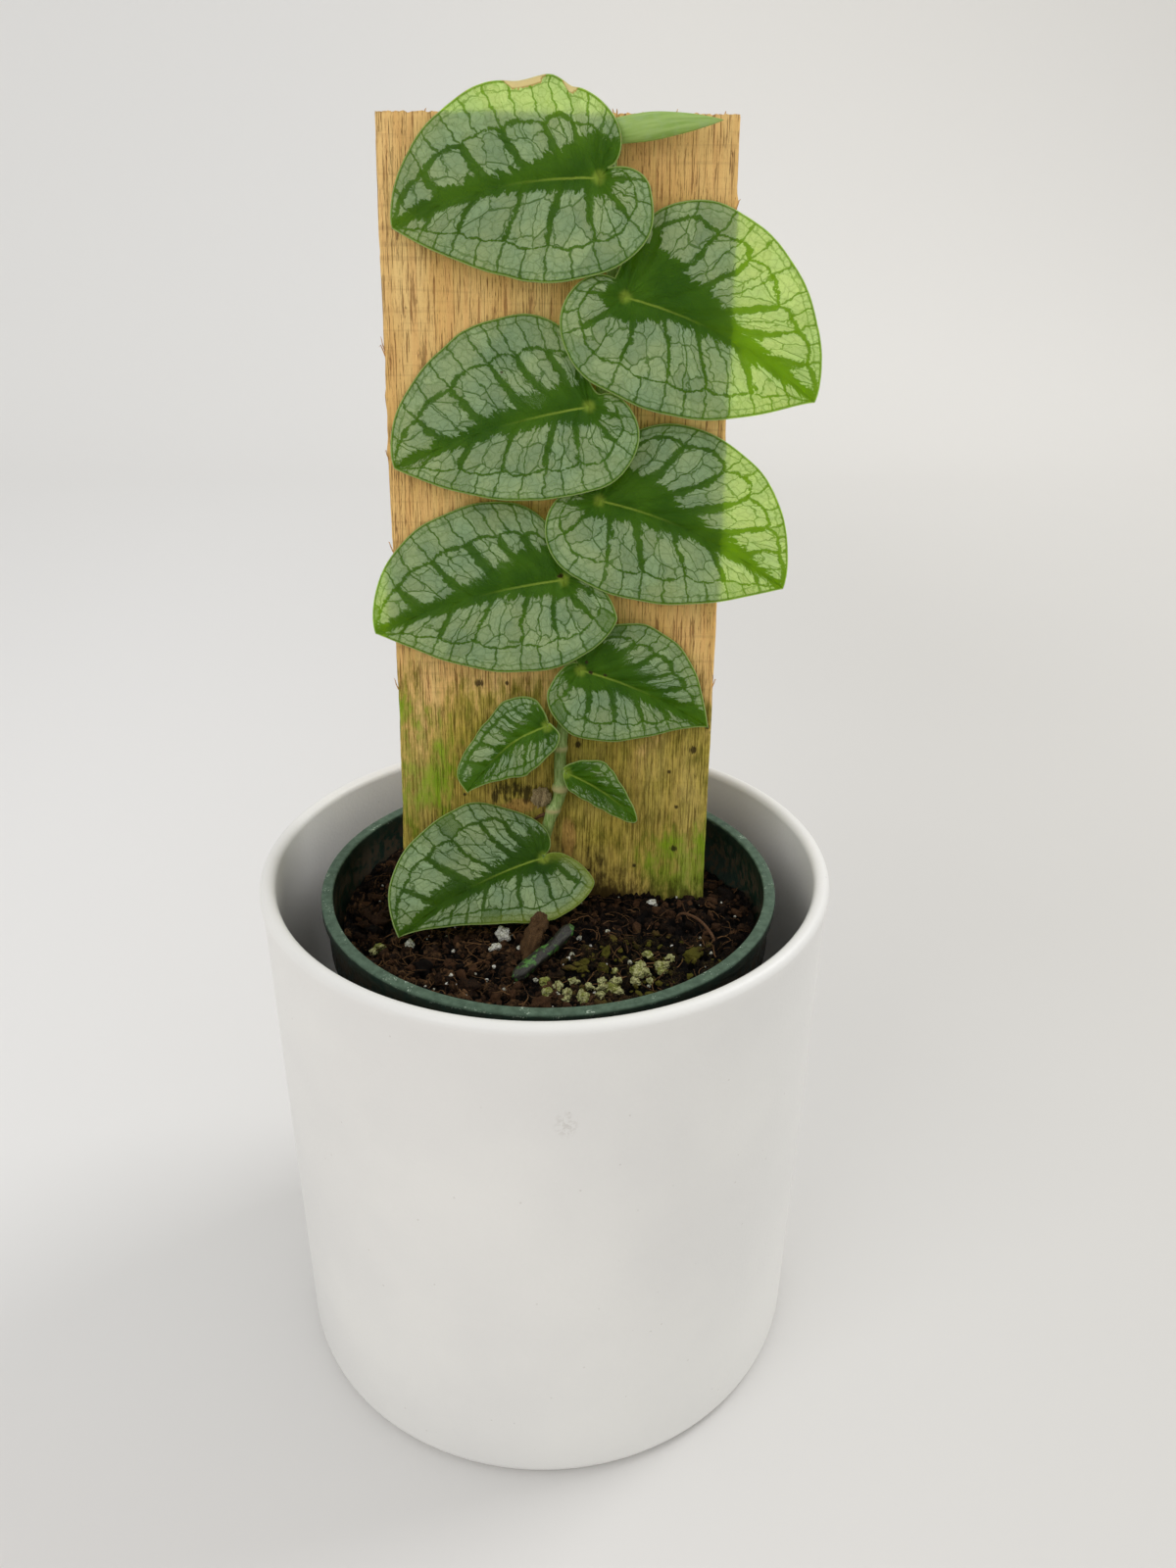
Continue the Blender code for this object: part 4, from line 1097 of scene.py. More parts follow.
def wood_material():
    """Straight-grained sawn softwood: dark ring lines, saw marks, algae low down, stains and specks."""
    paint = Paint("sawn_board")
    board = paint.attribute("board_mm", vector=True)
    across, up, deep = paint.axes(board)
    side = across + deep * 0.8
    drift = paint.noise(paint.vector(across * 0.05, up * 0.01, 0.0), 1.0, 1.0) - 0.5
    blotch = paint.noise(paint.vector(across * 0.10, up * 0.02, 3.0), 1.0, 3.0)
    rings = paint.noise(paint.vector((side + drift * 5.0) * 0.55, up * 0.008, 0.3), 1.0, 1.0)
    dash = paint.noise(paint.vector((side + drift * 2.0) * 2.7, up * 0.075, 7.0), 1.0, 2.0, 0.6)
    fibre = paint.noise(paint.vector(side * 2.6, up * 0.11, 2.0), 1.0, 3.0, 0.65)
    hair = paint.noise(paint.vector(side * 6.5, up * 0.5, 1.0), 1.0, 3.0, 0.65)
    saw = paint.noise(paint.vector(across * 0.03, up * 0.62, 2.0), 1.0, 2.0, 0.6)
    colour = paint.mix(blotch.step(0.3, 0.7), rgb(228, 184, 112), rgb(242, 206, 136))
    colour = paint.mix(rings.step(0.45, 0.65) * 0.32, colour, rgb(230, 172, 108))
    colour = paint.mix(fibre.step(0.46, 0.72) * 0.50, colour, rgb(200, 144, 88))
    lines = (dash + (hair - 0.5) * 0.25).step(0.56, 0.63)
    colour = paint.mix(lines * 0.66, colour, rgb(134, 84, 44))
    pore = (hair * 0.6 + fibre * 0.5).step(0.64, 0.72)
    colour = paint.mix(pore * 0.70, colour, rgb(116, 72, 38))
    colour = paint.mix((hair * 0.7 + saw * 0.35).step(0.42, 0.30) * 0.45, colour, rgb(252, 212, 146))
    colour = paint.mix(saw.step(0.52, 0.68) * 0.20, colour, rgb(160, 116, 72))

    # algae where the board stays damp
    patch = paint.noise(paint.vector(across * 0.075, up * 0.04, 5.0), 1.0, 4.0, 0.62)
    spray = paint.noise(paint.vector(across * 0.5, up * 0.16, 9.0), 1.0, 4.0, 0.7)
    damp = up * -0.022 + 1.62 + (patch - 0.5) * 1.6 + (fibre - 0.5) * 0.5 + (spray - 0.5) * 1.0
    olive = damp.step(0.05, 0.50) * up.step(72.0, 62.0)
    right_low = across.step(4.0, 40.0) * up.step(40.0, 6.0)
    left_low = across.step(-12.0, -38.0) * up.step(66.0, 50.0) * up.step(8.0, 30.0)
    vivid = (patch * 1.0 + spray * 0.9 + right_low * 0.62 + left_low * 0.55 - 1.22).step(0.0, 0.40) * olive
    wet = across * across * -0.0012 + up * -0.030 + 1.1 + (patch - 0.5) * 1.3 + (spray - 0.5) * 0.8
    wet = wet.step(0.5, 0.85)
    algae = paint.mix((fibre * 0.7 + spray * 0.6).step(0.50, 0.80), rgb(184, 168, 62), rgb(98, 98, 14))
    algae = paint.mix(vivid, algae, paint.mix(spray.step(0.3, 0.7), rgb(92, 142, 4), rgb(134, 170, 16)))
    algae = paint.mix(lines * 0.40, algae, rgb(66, 64, 12))
    colour = paint.mix(olive * (patch * 0.9 + spray * 0.4 + 0.12).least(0.92), colour, algae)
    colour = paint.mix(wet * 0.78, colour, paint.mix(fibre.step(0.3, 0.7), rgb(86, 62, 24), rgb(34, 26, 10)))
    for x, y, wide, high in ((-8.9, 25.7, 4.5, 2.2), (4.0, 16.5, 2.2, 6.5), (-12.5, 24.5, 3.0, 1.6)):
        near = ((across - x) / wide) * ((across - x) / wide) + ((up - y) / high) * ((up - y) / high)
        bald = (near + (fibre - 0.5) * 2.2 + (spray - 0.5)).step(1.1, 0.5)
        bare_wood = paint.mix(hair.step(0.3, 0.7), rgb(208, 164, 92), rgb(146, 108, 54))
        colour = paint.mix(bald * 0.8, colour, bare_wood)
    stain = ((across + 11.0).squared() * 0.022 + (up - 29.0).squared() * 0.10).step(2.4, 0.2)
    stain = (stain * 0.9 + (spray - 0.5) * 3.0 + (fibre - 0.5) * 1.0).step(0.45, 1.05)
    colour = paint.mix(stain * 0.80, colour, rgb(42, 34, 16))
    soil_line = up * -0.085 + 1.05 + (spray - 0.5) * 2.8 + (patch - 0.5) * 1.6
    soil_line = soil_line - across.step(12.0, 32.0) * 0.45
    soil_line = soil_line.step(0.0, 0.9) * up.step(18.0, 3.0)
    colour = paint.mix(soil_line * 0.8, colour, paint.mix(fibre, rgb(28, 20, 8), rgb(84, 62, 30)))
    spots = paint.cells(paint.vector(across * 0.09, up * 0.09, 0.0), 1.0, feature="F1")
    speckled = paint.cell_random(paint.vector(across * 0.09, up * 0.09, 0.0), 1.0).step(0.72, 0.78)
    speck = (spots + (hair - 0.5) * 0.10).step(0.06, 0.03) * up.step(62.0, 48.0) * speckled
    for x, y, size in ((6.4, 43.3, 1.4), (37.1, 42.5, 1.6), (-19.8, 59.7, 1.4), (-12.6, 59.9, 0.7),
                       (40.7, 48.9, 1.0), (33.0, 14.0, 1.4),
                       (-14.0, 146.5, 0.7), (-2.5, 141.5, 0.5), (10.0, 139.0, 0.4)):
        near = ((across - x) * (across - x) + (up - y) * (up - y)).math("SQRT")
        speck = speck.most((near + (fibre - 0.5) * size * 1.8).step(size * 0.8, size * 0.45))
    colour = paint.mix(speck * 0.85, colour, rgb(38, 26, 16))
    ends = paint.attribute("end_grain")
    colour = paint.mix(ends * 0.5, colour, rgb(120, 82, 48))
    height = fibre * 0.4 + hair * 0.3 - lines * 0.35 - pore * 0.35 + saw * 0.35
    normal = paint.bump(height, 0.0006, 0.9)
    paint.finish(colour, 0.86 - wet * 0.25, normal, specular=0.12)
    return paint.material


def groove(across, up, deep):
    """How far a point of the board's skin stands out, in millimetres, from sawing and grain."""
    fibre = noise.noise(Vector((across * 1.6, up * 0.045, deep * 1.6)))
    fine = noise.noise(Vector((across * 3.6, up * 0.12, deep * 3.6 + 9)))
    saw = noise.noise(Vector((across * 0.03, up * 0.5, 4.0)))
    return 0.20 * fibre + 0.12 * fine + 0.06 * saw


def board_piece(skin):
    """The board as one closed skin: four long sides with real grain, and two ends."""
    half, thick = BOARD_WIDTH / 2, BOARD_THICKNESS
    rounded = 0.7
    wide, narrow = 190, 18
    loop = [(-half + rounded + (BOARD_WIDTH - 2 * rounded) * i / wide, 0.0, 0, 1) for i in range(wide + 1)]
    loop += [(half, -(rounded + (thick - 2 * rounded) * i / narrow), 1, 0) for i in range(narrow + 1)]
    loop += [
        (half - rounded - (BOARD_WIDTH - 2 * rounded) * i / wide, -thick, 0, -1) for i in range(wide + 1)
    ]
    loop += [
        (-half, -(thick - rounded - (thick - 2 * rounded) * i / narrow), -1, 0) for i in range(narrow + 1)
    ]
    ups = [-BOARD_BELOW + i * 8.0 for i in range(12)]
    ups += [-2.0 + (BOARD_ABOVE + 2.0) * i / 120 for i in range(121)]
    sizes = len(ups)
    points, places = [], []
    for x, out, side_x, side_out in loop:
        for i, up in enumerate(ups):
            rise = groove(x, up, out)
            near_edge = max(0.0, 1 - (half - abs(x)) / 2.0) * max(0.0, 1 - min(-out, thick + out) / 2.0)
            rise -= near_edge * (0.25 + 0.9 * max(0.0, noise.noise(Vector((up * 0.22, x, out * 0.3)))))
            if side_x:
                rise += 0.22 * noise.noise(Vector((up * 0.05, x, 0.0))) + splinter(side_x, up)
            high = up
            if i in (0, sizes - 1):
                high = up + 0.5 * noise.noise(Vector((x * 0.9, out * 0.9, up))) - (0.4 if i else 0.0)
            points.append(on_board(x + side_x * rise, high, out + side_out * rise))
            places.append((x, up, out))
    faces = grid_faces(len(loop), sizes, closed=True)
    ends_at = len(points)
    for level, up in ((0, -BOARD_BELOW), (sizes - 1, BOARD_ABOVE)):
        rows = []
        for j in range(wide + 1):
            a, b = j, (wide + 1) + (narrow + 1) + (wide - j)
            column = [a * sizes + level]
            for i in range(1, narrow + 2):
                share = i / (narrow + 2)
                x = -half + rounded + (BOARD_WIDTH - 2 * rounded) * j / wide
                out = -thick * share
                high = up + 0.5 * noise.noise(Vector((x * 0.9, out * 0.9, up))) - (0.4 if level else 0.0)
                column.append(len(points))
                points.append(on_board(x, high, out))
                places.append((x, up, out))
            column.append(b * sizes + level)
            rows.append(column)
        for j in range(wide):
            for i in range(len(rows[0]) - 1):
                quad = (rows[j][i], rows[j + 1][i], rows[j + 1][i + 1], rows[j][i + 1])
                faces.append(quad if level == 0 else quad[::-1])
        left = (wide + 1) + (narrow + 1) + (wide + 1)
        right = wide + 1
        left_ids = [(left + i) * sizes + level for i in range(narrow + 1)]
        right_ids = [(right + i) * sizes + level for i in range(narrow + 1)]
        faces += strip(rows[-1], [rows[-1][0]] + right_ids + [rows[-1][-1]], level == 0)
        faces += strip(rows[0], [rows[0][0]] + left_ids[::-1] + [rows[0][-1]], level != 0)
    made = mesh_object("plank_sawn", points, faces, skin)
    face_outwards(made)
    write_attribute(made, "board_mm", places)
    write_attribute(made, "end_grain", np.arange(len(points)) >= ends_at)
    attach(made, "root")
    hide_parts("plank")


def strip(inner, outer, forward):
    """Faces between two lines of points that share their ends."""
    faces = []
    count = min(len(inner), len(outer))
    for i in range(count - 1):
        quad = [inner[i], outer[i], outer[i + 1], inner[i + 1]]
        quad = [v for k, v in enumerate(quad) if v != quad[k - 1]]
        if len(set(quad)) > 2:
            faces.append(tuple(quad if forward else quad[::-1]))
    return faces


# Splinters on the board's narrow sides: side, height, how far out, how long
SPLINTERS = [(-1, 131.0, 0.35, 1.6), (1, 175.2, 0.4, 1.2), (-1, 118.0, 0.25, 1.4), (1, 120.0, 0.3, 1.5)]


def splinter(side, up):
    """How far torn fibres stand out of a narrow side at a height."""
    return sum(far * math.exp(-((up - at) / long) ** 2) for s, at, far, long in SPLINTERS if s == side)


# Pots


def ceramic_material():
    paint = Paint("white_ceramic_glaze")
    place = paint.place
    cloud = paint.noise(place, 0.02, 3.0)
    skin = paint.noise(place, 0.9, 3.0, 0.6)
    speckle = paint.cells(place, 0.16, feature="F1", flat=False)
    specks = (speckle + (skin - 0.5) * 0.04).step(0.055, 0.03)
    colour = paint.mix(cloud.step(0.3, 0.7), rgb(226, 225, 222), rgb(232, 231, 227))
    colour = paint.mix(specks * 0.25, colour, rgb(150, 140, 126))
    near = paint.axes(place)
    smear = (near[0] - 7.0).squared() * 0.09 + (near[2] - 126.0).squared() * 0.05
    smear = smear.step(1.0, 0.0)
    facing = near[1].step(-60.0, -70.0)
    colour = paint.mix(smear * facing * (skin - 0.42).step(0.0, 0.2) * 0.30, colour, rgb(172, 166, 156))
    normal = paint.bump(skin + cloud * 0.6, 0.00012, 0.6)
    paint.finish(colour, 0.34 + skin * 0.14, normal, specular=0.5)
    return paint.material


def cachepot(skin):
    lip = (CACHEPOT_RADIUS - CACHEPOT_LIP, CACHEPOT_HEIGHT - CACHEPOT_LIP)
    inner = CACHEPOT_RADIUS - CACHEPOT_WALL
    floor_edge = (inner - CACHEPOT_EDGE, CACHEPOT_FLOOR + CACHEPOT_EDGE)
    foot_edge = (CACHEPOT_FOOT - CACHEPOT_EDGE, CACHEPOT_EDGE)
    ring = CACHEPOT_FOOT - 2.4 * CACHEPOT_EDGE
    profile = [(0.0, CACHEPOT_FLOOR)] + [(inner * k / 8, CACHEPOT_FLOOR) for k in range(1, 7)]
    profile += arc(floor_edge, CACHEPOT_EDGE, -90, 0, 8)
    profile += [(inner, CACHEPOT_FLOOR + 20.0 * k) for k in range(1, 7)]
    profile += arc(lip, CACHEPOT_LIP, 180, 0, 14)
    profile += [(CACHEPOT_FOOT + 0.9, CACHEPOT_HEIGHT - 5.0), (CACHEPOT_FOOT + 0.6, CACHEPOT_HEIGHT - 9.0)]
    profile += [(CACHEPOT_FOOT + 0.6 - 0.08 * k, CACHEPOT_HEIGHT - 9.0 - 18.0 * k) for k in range(1, 8)]
    profile += arc(foot_edge, CACHEPOT_EDGE, 0, -90, 8)
    profile += [(ring, 0.0), (ring - 1.5, CACHEPOT_RECESS)]
    profile += [(ring * k / 6, CACHEPOT_RECESS) for k in range(5, 0, -1)] + [(0.0, CACHEPOT_RECESS)]
    made = turned("cachepot_glazed", profile, 192, skin, wobble=0.0012)
    face_outwards(made)
    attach(made, "root")
    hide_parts("cachepot")


def nursery_inner(height):
    """The inside radius of the nursery pot's tapering wall at a height."""
    shoulder = NURSERY_TOP - NURSERY_BAND
    share = (height - NURSERY_FOOT) / (shoulder - NURSERY_FOOT)
    top = NURSERY_RADIUS - NURSERY_STEP - NURSERY_WALL
    return min(NURSERY_FOOT_RADIUS + (top - NURSERY_FOOT_RADIUS) * share, top) - NURSERY_WALL


def plastic_material():
    paint = Paint("green_pot_plastic")
    place = paint.place
    _, _, up = paint.axes(place)
    scuff = paint.noise(paint.scaled(place, (0.5, 0.5, 0.12)), 1.0, 4.0, 0.6)
    fine = paint.noise(place, 3.0, 3.0)
    dust = paint.noise(place, 0.35, 4.0, 0.7)
    colour = paint.mix(scuff, rgb(7, 24, 17), rgb(16, 42, 30))
    edge = paint.noise(paint.scaled(place, (0.25, 0.25, 1.0)), 1.0, 3.0, 0.7)
    # Painted highlight and scuffs: the rim's flat top is much lighter than the body, partly as sheen of light
    # on it and partly as scuffs.
    lip = (up + (edge - 0.5) * 0.8).step(148.9, 149.5)
    colour = paint.mix(lip * 0.92, colour, paint.mix(scuff.step(0.3, 0.7), rgb(64, 85, 69), rgb(86, 108, 90)))
    nick = (edge * 0.6 + fine * 0.5 - 0.66).step(0.0, 0.04) * up.step(148.4, 149.2)
    colour = paint.mix(nick * 0.8, colour, rgb(176, 192, 174))
    grime = (dust + up * 0.004 - 1.02).step(0.0, 0.10) * up.step(151.0, 141.0)
    colour = paint.mix(grime * 0.6, colour, rgb(70, 52, 34))
    normal = paint.bump(scuff * 0.6 + fine * 0.3, 0.00015, 0.7)
    paint.finish(colour, 0.42 + fine * 0.15 + grime * 0.3 + lip * 0.25, normal, specular=0.3)
    return paint.material


def nursery_pot(skin):
    shoulder = NURSERY_TOP - NURSERY_BAND
    floor = NURSERY_FOOT + NURSERY_WALL
    band_in = NURSERY_RADIUS - NURSERY_WALL - 0.5
    wall_top = nursery_inner(shoulder) + NURSERY_WALL
    rim = (NURSERY_RADIUS - NURSERY_LIP / 2, NURSERY_TOP - NURSERY_LIP / 2)
    profile = [(0.0, floor), (nursery_inner(floor), floor)]
    heights = [floor + (shoulder - floor) * k / 6 for k in range(1, 7)]
    profile += [(nursery_inner(height), height) for height in heights]
    profile += [(band_in - NURSERY_WALL * 0.4, shoulder + 2.0)]
    profile += [(rim[0] - NURSERY_LIP / 2, rim[1] - NURSERY_LIP / 2)]
    round_edge = 0.45
    for side, start, end in ((-1, 180, 90), (1, 90, 0)):
        corner = (rim[0] + side * (NURSERY_LIP / 2 - round_edge), NURSERY_TOP - round_edge)
        profile += arc(corner, round_edge, start, end, 5)
    profile += [(NURSERY_RADIUS, rim[1] - NURSERY_LIP / 2)]
    profile += [(band_in + NURSERY_WALL * 0.6, rim[1] - NURSERY_LIP)]
    profile += [(band_in + NURSERY_WALL * 0.4, shoulder), (wall_top, shoulder - 1.5)]
    profile += [(NURSERY_FOOT_RADIUS, NURSERY_FOOT), (0.0, NURSERY_FOOT)]
    made = turned("nursery_pot_moulded", profile, 160, skin, centre=NURSERY_CENTRE, wobble=0.002)
    face_outwards(made)
    drills = bmesh.new()
    for i in range(DRAIN_HOLES):
        angle = math.tau * (i + 0.5) / DRAIN_HOLES
        place = round_pot(angle, DRAIN_CIRCLE)
        bmesh.ops.create_cone(
            drills, cap_ends=True, segments=32,
            radius1=DRAIN_RADIUS * MM, radius2=DRAIN_RADIUS * MM, depth=8 * MM,
            matrix=Matrix.Translation((place[0] * MM, place[1] * MM, NURSERY_FOOT * MM)),
        )
    mesh = bpy.data.meshes.new("drills")
    drills.to_mesh(mesh)
    drills.free()
    drill = bpy.data.objects.new("drills", mesh)
    bpy.context.scene.collection.objects.link(drill)
    cut = made.modifiers.new("Drain holes", "BOOLEAN")
    cut.object = drill
    bpy.context.view_layer.update()
    graph = bpy.context.evaluated_depsgraph_get()
    holed = bpy.data.meshes.new_from_object(made.evaluated_get(graph))
    made.modifiers.clear()
    made.data = holed
    bpy.data.objects.remove(drill)
    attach(made, "root")
    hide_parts("nursery_pot")


# Mix


def round_pot(angle, reach):
    """A place at an angle and a distance from the nursery pot's middle, in millimetres."""
    return NURSERY_CENTRE[0] + reach * math.cos(angle), NURSERY_CENTRE[1] + reach * math.sin(angle)


def mix_height(x, y):
    """The height of the mix's bumpy surface in millimetres, with the hollow behind the board."""
    bumps = noise.noise(Vector((x, y, 0.0)) * 0.09) + 0.5 * noise.noise(Vector((x * MM, y * MM, 0.01)) * 200)
    away = math.hypot(x - HOLLOW_PLACE[0], y - HOLLOW_PLACE[1]) / HOLLOW_RADIUS
    return MIX_TOP + MIX_BUMP * bumps - HOLLOW_DEPTH * math.exp(-away * away)


def mix_material():
    """Moist coir and peat: near black in the pits as painted shade, brown on the crumbs, fibres and a green
    bloom.
    """
    paint = Paint("coir_and_bark_mix")
    place = paint.place
    x, y, _ = paint.axes(place)
    lift = paint.attribute("lift")
    lumps = paint.noise(place, 0.45, 4.0, 0.65)
    grit = paint.noise(place, 2.4, 4.0, 0.75)
    threads = paint.noise(paint.scaled(place, (1.2, 3.5, 1.2)), 1.0, 4.0, 0.7, 1.5)
    left_front = (x * -0.014 + y * -0.012 - 0.15 + (lumps - 0.5) * 1.4).step(0.0, 0.7)
    # Painted shade: low places of the mix, read from lift, turn near black as shade in the pits; raised
    # crumbs keep the brown.
    high = (lift * 0.55 + (grit - 0.5) * 1.5 + (lumps - 0.5) * 0.8).step(-0.25, 0.75)
    colour = paint.mix(high, rgb(7, 4, 3), paint.mix(left_front, rgb(52, 35, 21), rgb(138, 102, 68)))
    colour = paint.mix((threads - 0.58).step(0.0, 0.08) * high * 0.7, colour, rgb(132, 96, 64))
    colour = paint.mix((grit - 0.68).step(0.0, 0.05) * 0.7, colour, rgb(150, 128, 96))
    green = (x - 28.0).squared() * 0.0016 + (y + 36.0).squared() * 0.003 + (lumps - 0.5) * 2.0
    green = green.step(1.1, 0.4)
    colour = paint.mix(green * (grit - 0.5).step(0.0, 0.2) * high * 0.6, colour, rgb(112, 112, 30))
    normal = paint.bump(lumps + grit * 0.8 + threads * 0.4, 0.0014, 1.0)
    paint.finish(colour, 0.9, normal, specular=0.12)
    return paint.material


def crumb_material(name, dark, light, green=0.0):
    """Crumbs of bark and coir, each with its own shade."""
    paint = Paint(name)
    place = paint.place
    own = paint.attribute("own_shade")
    x, y, _ = paint.axes(place)
    fibre = paint.noise(paint.scaled(place, (2.0, 6.0, 2.0)), 1.0, 4.0, 0.7, 0.6)
    grit = paint.noise(place, 2.8, 4.0, 0.75)
    colour = paint.mix((own * 0.9 + (fibre - 0.5) * 1.2 + (grit - 0.5) * 0.8).step(0.0, 1.0), dark, light)
    colour = paint.mix((grit - 0.5).step(0.0, -0.22) * 0.85, colour, tuple(c * 0.2 for c in dark))
    near = ((x - 28.0).squared() * 0.0016 + (y + 36.0).squared() * 0.003 + (grit - 0.5)).step(1.2, 0.4)
    colour = paint.mix(near * green * (own + grit - 0.75).step(0.0, 0.4), colour, rgb(112, 116, 30))
    normal = paint.bump(fibre + grit, 0.0006, 1.0)
    paint.finish(colour, 0.88, normal, specular=0.12)
    return paint.material


def in_board(x, y, margin=1.0):
    """Whether a place on the mix is in the board."""
    local = BOARD.inverted() @ Vector((x * MM, y * MM, MIX_TOP * MM))
    return abs(local.x) / MM < BOARD_WIDTH / 2 + margin and -margin < local.y / MM < BOARD_THICKNESS + margin


def mix_piece(skin):
    """The mix as a closed plug whose top is a field of crumbs, clods and pits."""
    rim = nursery_inner(MIX_TOP) - MIX_GAP
    rings, sides = MIX_GRID
    foot = NURSERY_FOOT + NURSERY_WALL + 0.3
    points, painted_shade_heights = [], []

    def top(x, y, edge):
        clods = noise.noise(Vector((x * 0.20, y * 0.20, 2.0)))
        crumbs_at = abs(noise.noise(Vector((x * 0.62, y * 0.62, 5.0))))
        fine = abs(noise.noise(Vector((x * 1.5, y * 1.5, 8.0))))
        pits = min(0.0, noise.noise(Vector((x * 0.42, y * 0.42, 11.0))) + 0.05)
        rough = 1.2 * clods + 2.4 * crumbs_at + 1.1 * fine + 3.2 * pits - 0.9
        points.append((x * MM, y * MM, (mix_height(x, y) + rough * edge) * MM))
        # this height is what the mix's material turns into painted shade in its pits
        painted_shade_heights.append(rough * 0.8)

    top(*NURSERY_CENTRE, 1.0)
    for i in range(1, rings + 1):
        for k in range(sides):
            angle = math.tau * (k + 0.5 * (i % 2)) / sides
            reach = rim * (i / rings) ** 0.8
            edge = min(1.0, (rim - reach) / 3.0 + 0.3)
            top(*round_pot(angle, reach), edge)
    for height in (MIX_TOP - 8.0, foot):
        for k in range(sides):
            angle = math.tau * k / sides
            x, y = round_pot(angle, nursery_inner(height) - MIX_GAP)
            points.append((x * MM, y * MM, height * MM))
            painted_shade_heights.append(0.0)
    faces = [(0, 1 + k, 1 + (k + 1) % sides) for k in range(sides)]
    for i in range(rings + 1):
        near, far = 1 + i * sides, 1 + (i + 1) * sides
        for k in range(sides):
            n = (k + 1) % sides
            faces.append((near + k, far + k, far + n, near + n))
    low = 1 + (rings + 1) * sides
    points.append((NURSERY_CENTRE[0] * MM, NURSERY_CENTRE[1] * MM, foot * MM))
    painted_shade_heights.append(0.0)
    faces += [(len(points) - 1, low + (k + 1) % sides, low + k) for k in range(sides)]
    made = mesh_object("mix_surface", points, faces, skin)
    face_outwards(made)
    write_attribute(made, "lift", painted_shade_heights)
    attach(made, "root")
    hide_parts("potting_mix")


def rock(detail, seed, jag):
    """The points and faces of a rough ball of unit size."""
    ball = bmesh.new()
    bmesh.ops.create_icosphere(ball, subdivisions=detail, radius=1.0)
    ball.verts.ensure_lookup_table()
    points = []
    for vert in ball.verts:
        co = vert.co
        swell = 1 + jag * noise.noise(co * 1.3 + Vector((seed, 0, 0)))
        swell += jag * 0.5 * noise.noise(co * 3.1 + Vector((0, seed, 0)))
        points.append(co * swell)
    faces = [tuple(v.index for v in face.verts) for face in ball.faces]
    ball.free()
    return points, faces


def gather(name, bits, skin, smooth=False, stands_for=()):
    """One mesh of many bits, each (points, faces, own shade)."""
    points, faces, shades = [], [], []
    for bit_points, bit_faces, shade in bits:
        start = len(points)
        points += bit_points
        faces += [tuple(v + start for v in face) for face in bit_faces]
        shades += [shade] * len(bit_points)
    made = mesh_object(name, [tuple(p) for p in points], faces, skin, smooth)
    write_attribute(made, "own_shade", shades)
    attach(made, "root")
    if stands_for:
        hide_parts(*stands_for)


def placed(points, turn, shape, spot):
    """A bit's points in metres, stretched, turned and put in place."""
    return [(turn @ Vector((p.x * shape[0], p.y * shape[1], p.z * shape[2])) + spot) * MM for p in points]


def turned_by(draw):
    """A random turn."""
    heading = Matrix.Rotation(draw.uniform(0, math.tau), 3, "Z")
    return heading @ Matrix.Rotation(draw.uniform(-1.2, 1.2), 3, "X")


def place_on_mix(draw, margin=2.0):
    """A random place on the mix, in millimetres, outside the board."""
    while True:
        angle = draw.uniform(0, math.tau)
        x, y = round_pot(angle, math.sqrt(draw.uniform(0, 1)) * (nursery_inner(MIX_TOP) - margin))
        if not in_board(x, y):
            return x, y


def crumbs(skin):
    draw = np.random.default_rng(5)
    kinds = [rock(2, 3.7 * k + 1, 0.55) for k in range(12)]
    bits = []
    for _ in range(CRUMBS):
        x, y = place_on_mix(draw)
        size = 0.35 + 1.25 * draw.uniform(0, 1) ** 2.6
        shares = (draw.uniform(0.8, 1.5), draw.uniform(0.65, 1.0), draw.uniform(0.5, 0.9))
        shape = Vector([size * share for share in shares])
        turn = turned_by(draw)
        kind_points, kind_faces = kinds[draw.integers(len(kinds))]
        spot = Vector((x, y, mix_height(x, y) + size * draw.uniform(-0.4, 0.4)))
        bits.append((placed(kind_points, turn, shape, spot), kind_faces, draw.uniform(0, 1)))
    gather("mix_crumbs", bits, skin)


def thread(route, radius):
    """The points and faces of a thin four-sided thread along a route in millimetres."""
    points = []
    for i, place in enumerate(route):
        ahead = (route[min(i + 1, len(route) - 1)] - route[max(i - 1, 0)]).normalized()
        side = ahead.cross(Vector((0, 0, 1)))
        side = side.normalized() if side.length > 1e-6 else Vector((1, 0, 0))
        other = ahead.cross(side)
        thin = radius * (1 - 0.7 * (i / (len(route) - 1)) ** 2)
        for angle in (0.0, 1.57, 3.14, 4.71):
            points.append((place + side * math.cos(angle) * thin + other * math.sin(angle) * thin) * MM)
    faces = tube_faces(len(route), 4)
    faces.append((3, 2, 1, 0))
    faces.append(tuple(len(points) - 4 + k for k in range(4)))
    return points, faces


def fibres(skin):
    """Coir fibres that lie in and on the mix."""
    draw = np.random.default_rng(9)
    bits = []
    for _ in range(FIBRES):
        x, y = place_on_mix(draw, 4.0)
        heading = draw.uniform(0, math.tau)
        step = draw.uniform(0.5, 1.5)
        curl = draw.uniform(-0.5, 0.5)
        spot = Vector((x, y, mix_height(x, y) + draw.uniform(0.0, 0.9)))
        route = [spot]
        for _ in range(FIBRE_STEPS):
            heading += curl + draw.uniform(-0.25, 0.25)
            rise = draw.uniform(-0.45, 0.4)
            spot = spot + Vector((math.cos(heading) * step, math.sin(heading) * step, rise))
            far = math.hypot(spot.x - NURSERY_CENTRE[0], spot.y - NURSERY_CENTRE[1])
            if far > nursery_inner(MIX_TOP) - 1.0 or in_board(spot.x, spot.y, 0.6):
                break
            spot.z = max(spot.z, mix_height(spot.x, spot.y) + 0.1)
            route.append(spot)
        if len(route) > 2:
            points, faces = thread(route, draw.uniform(0.07, 0.20))
            bits.append((points, faces, draw.uniform(0, 1)))
    gather("coir_fibres", bits, skin)


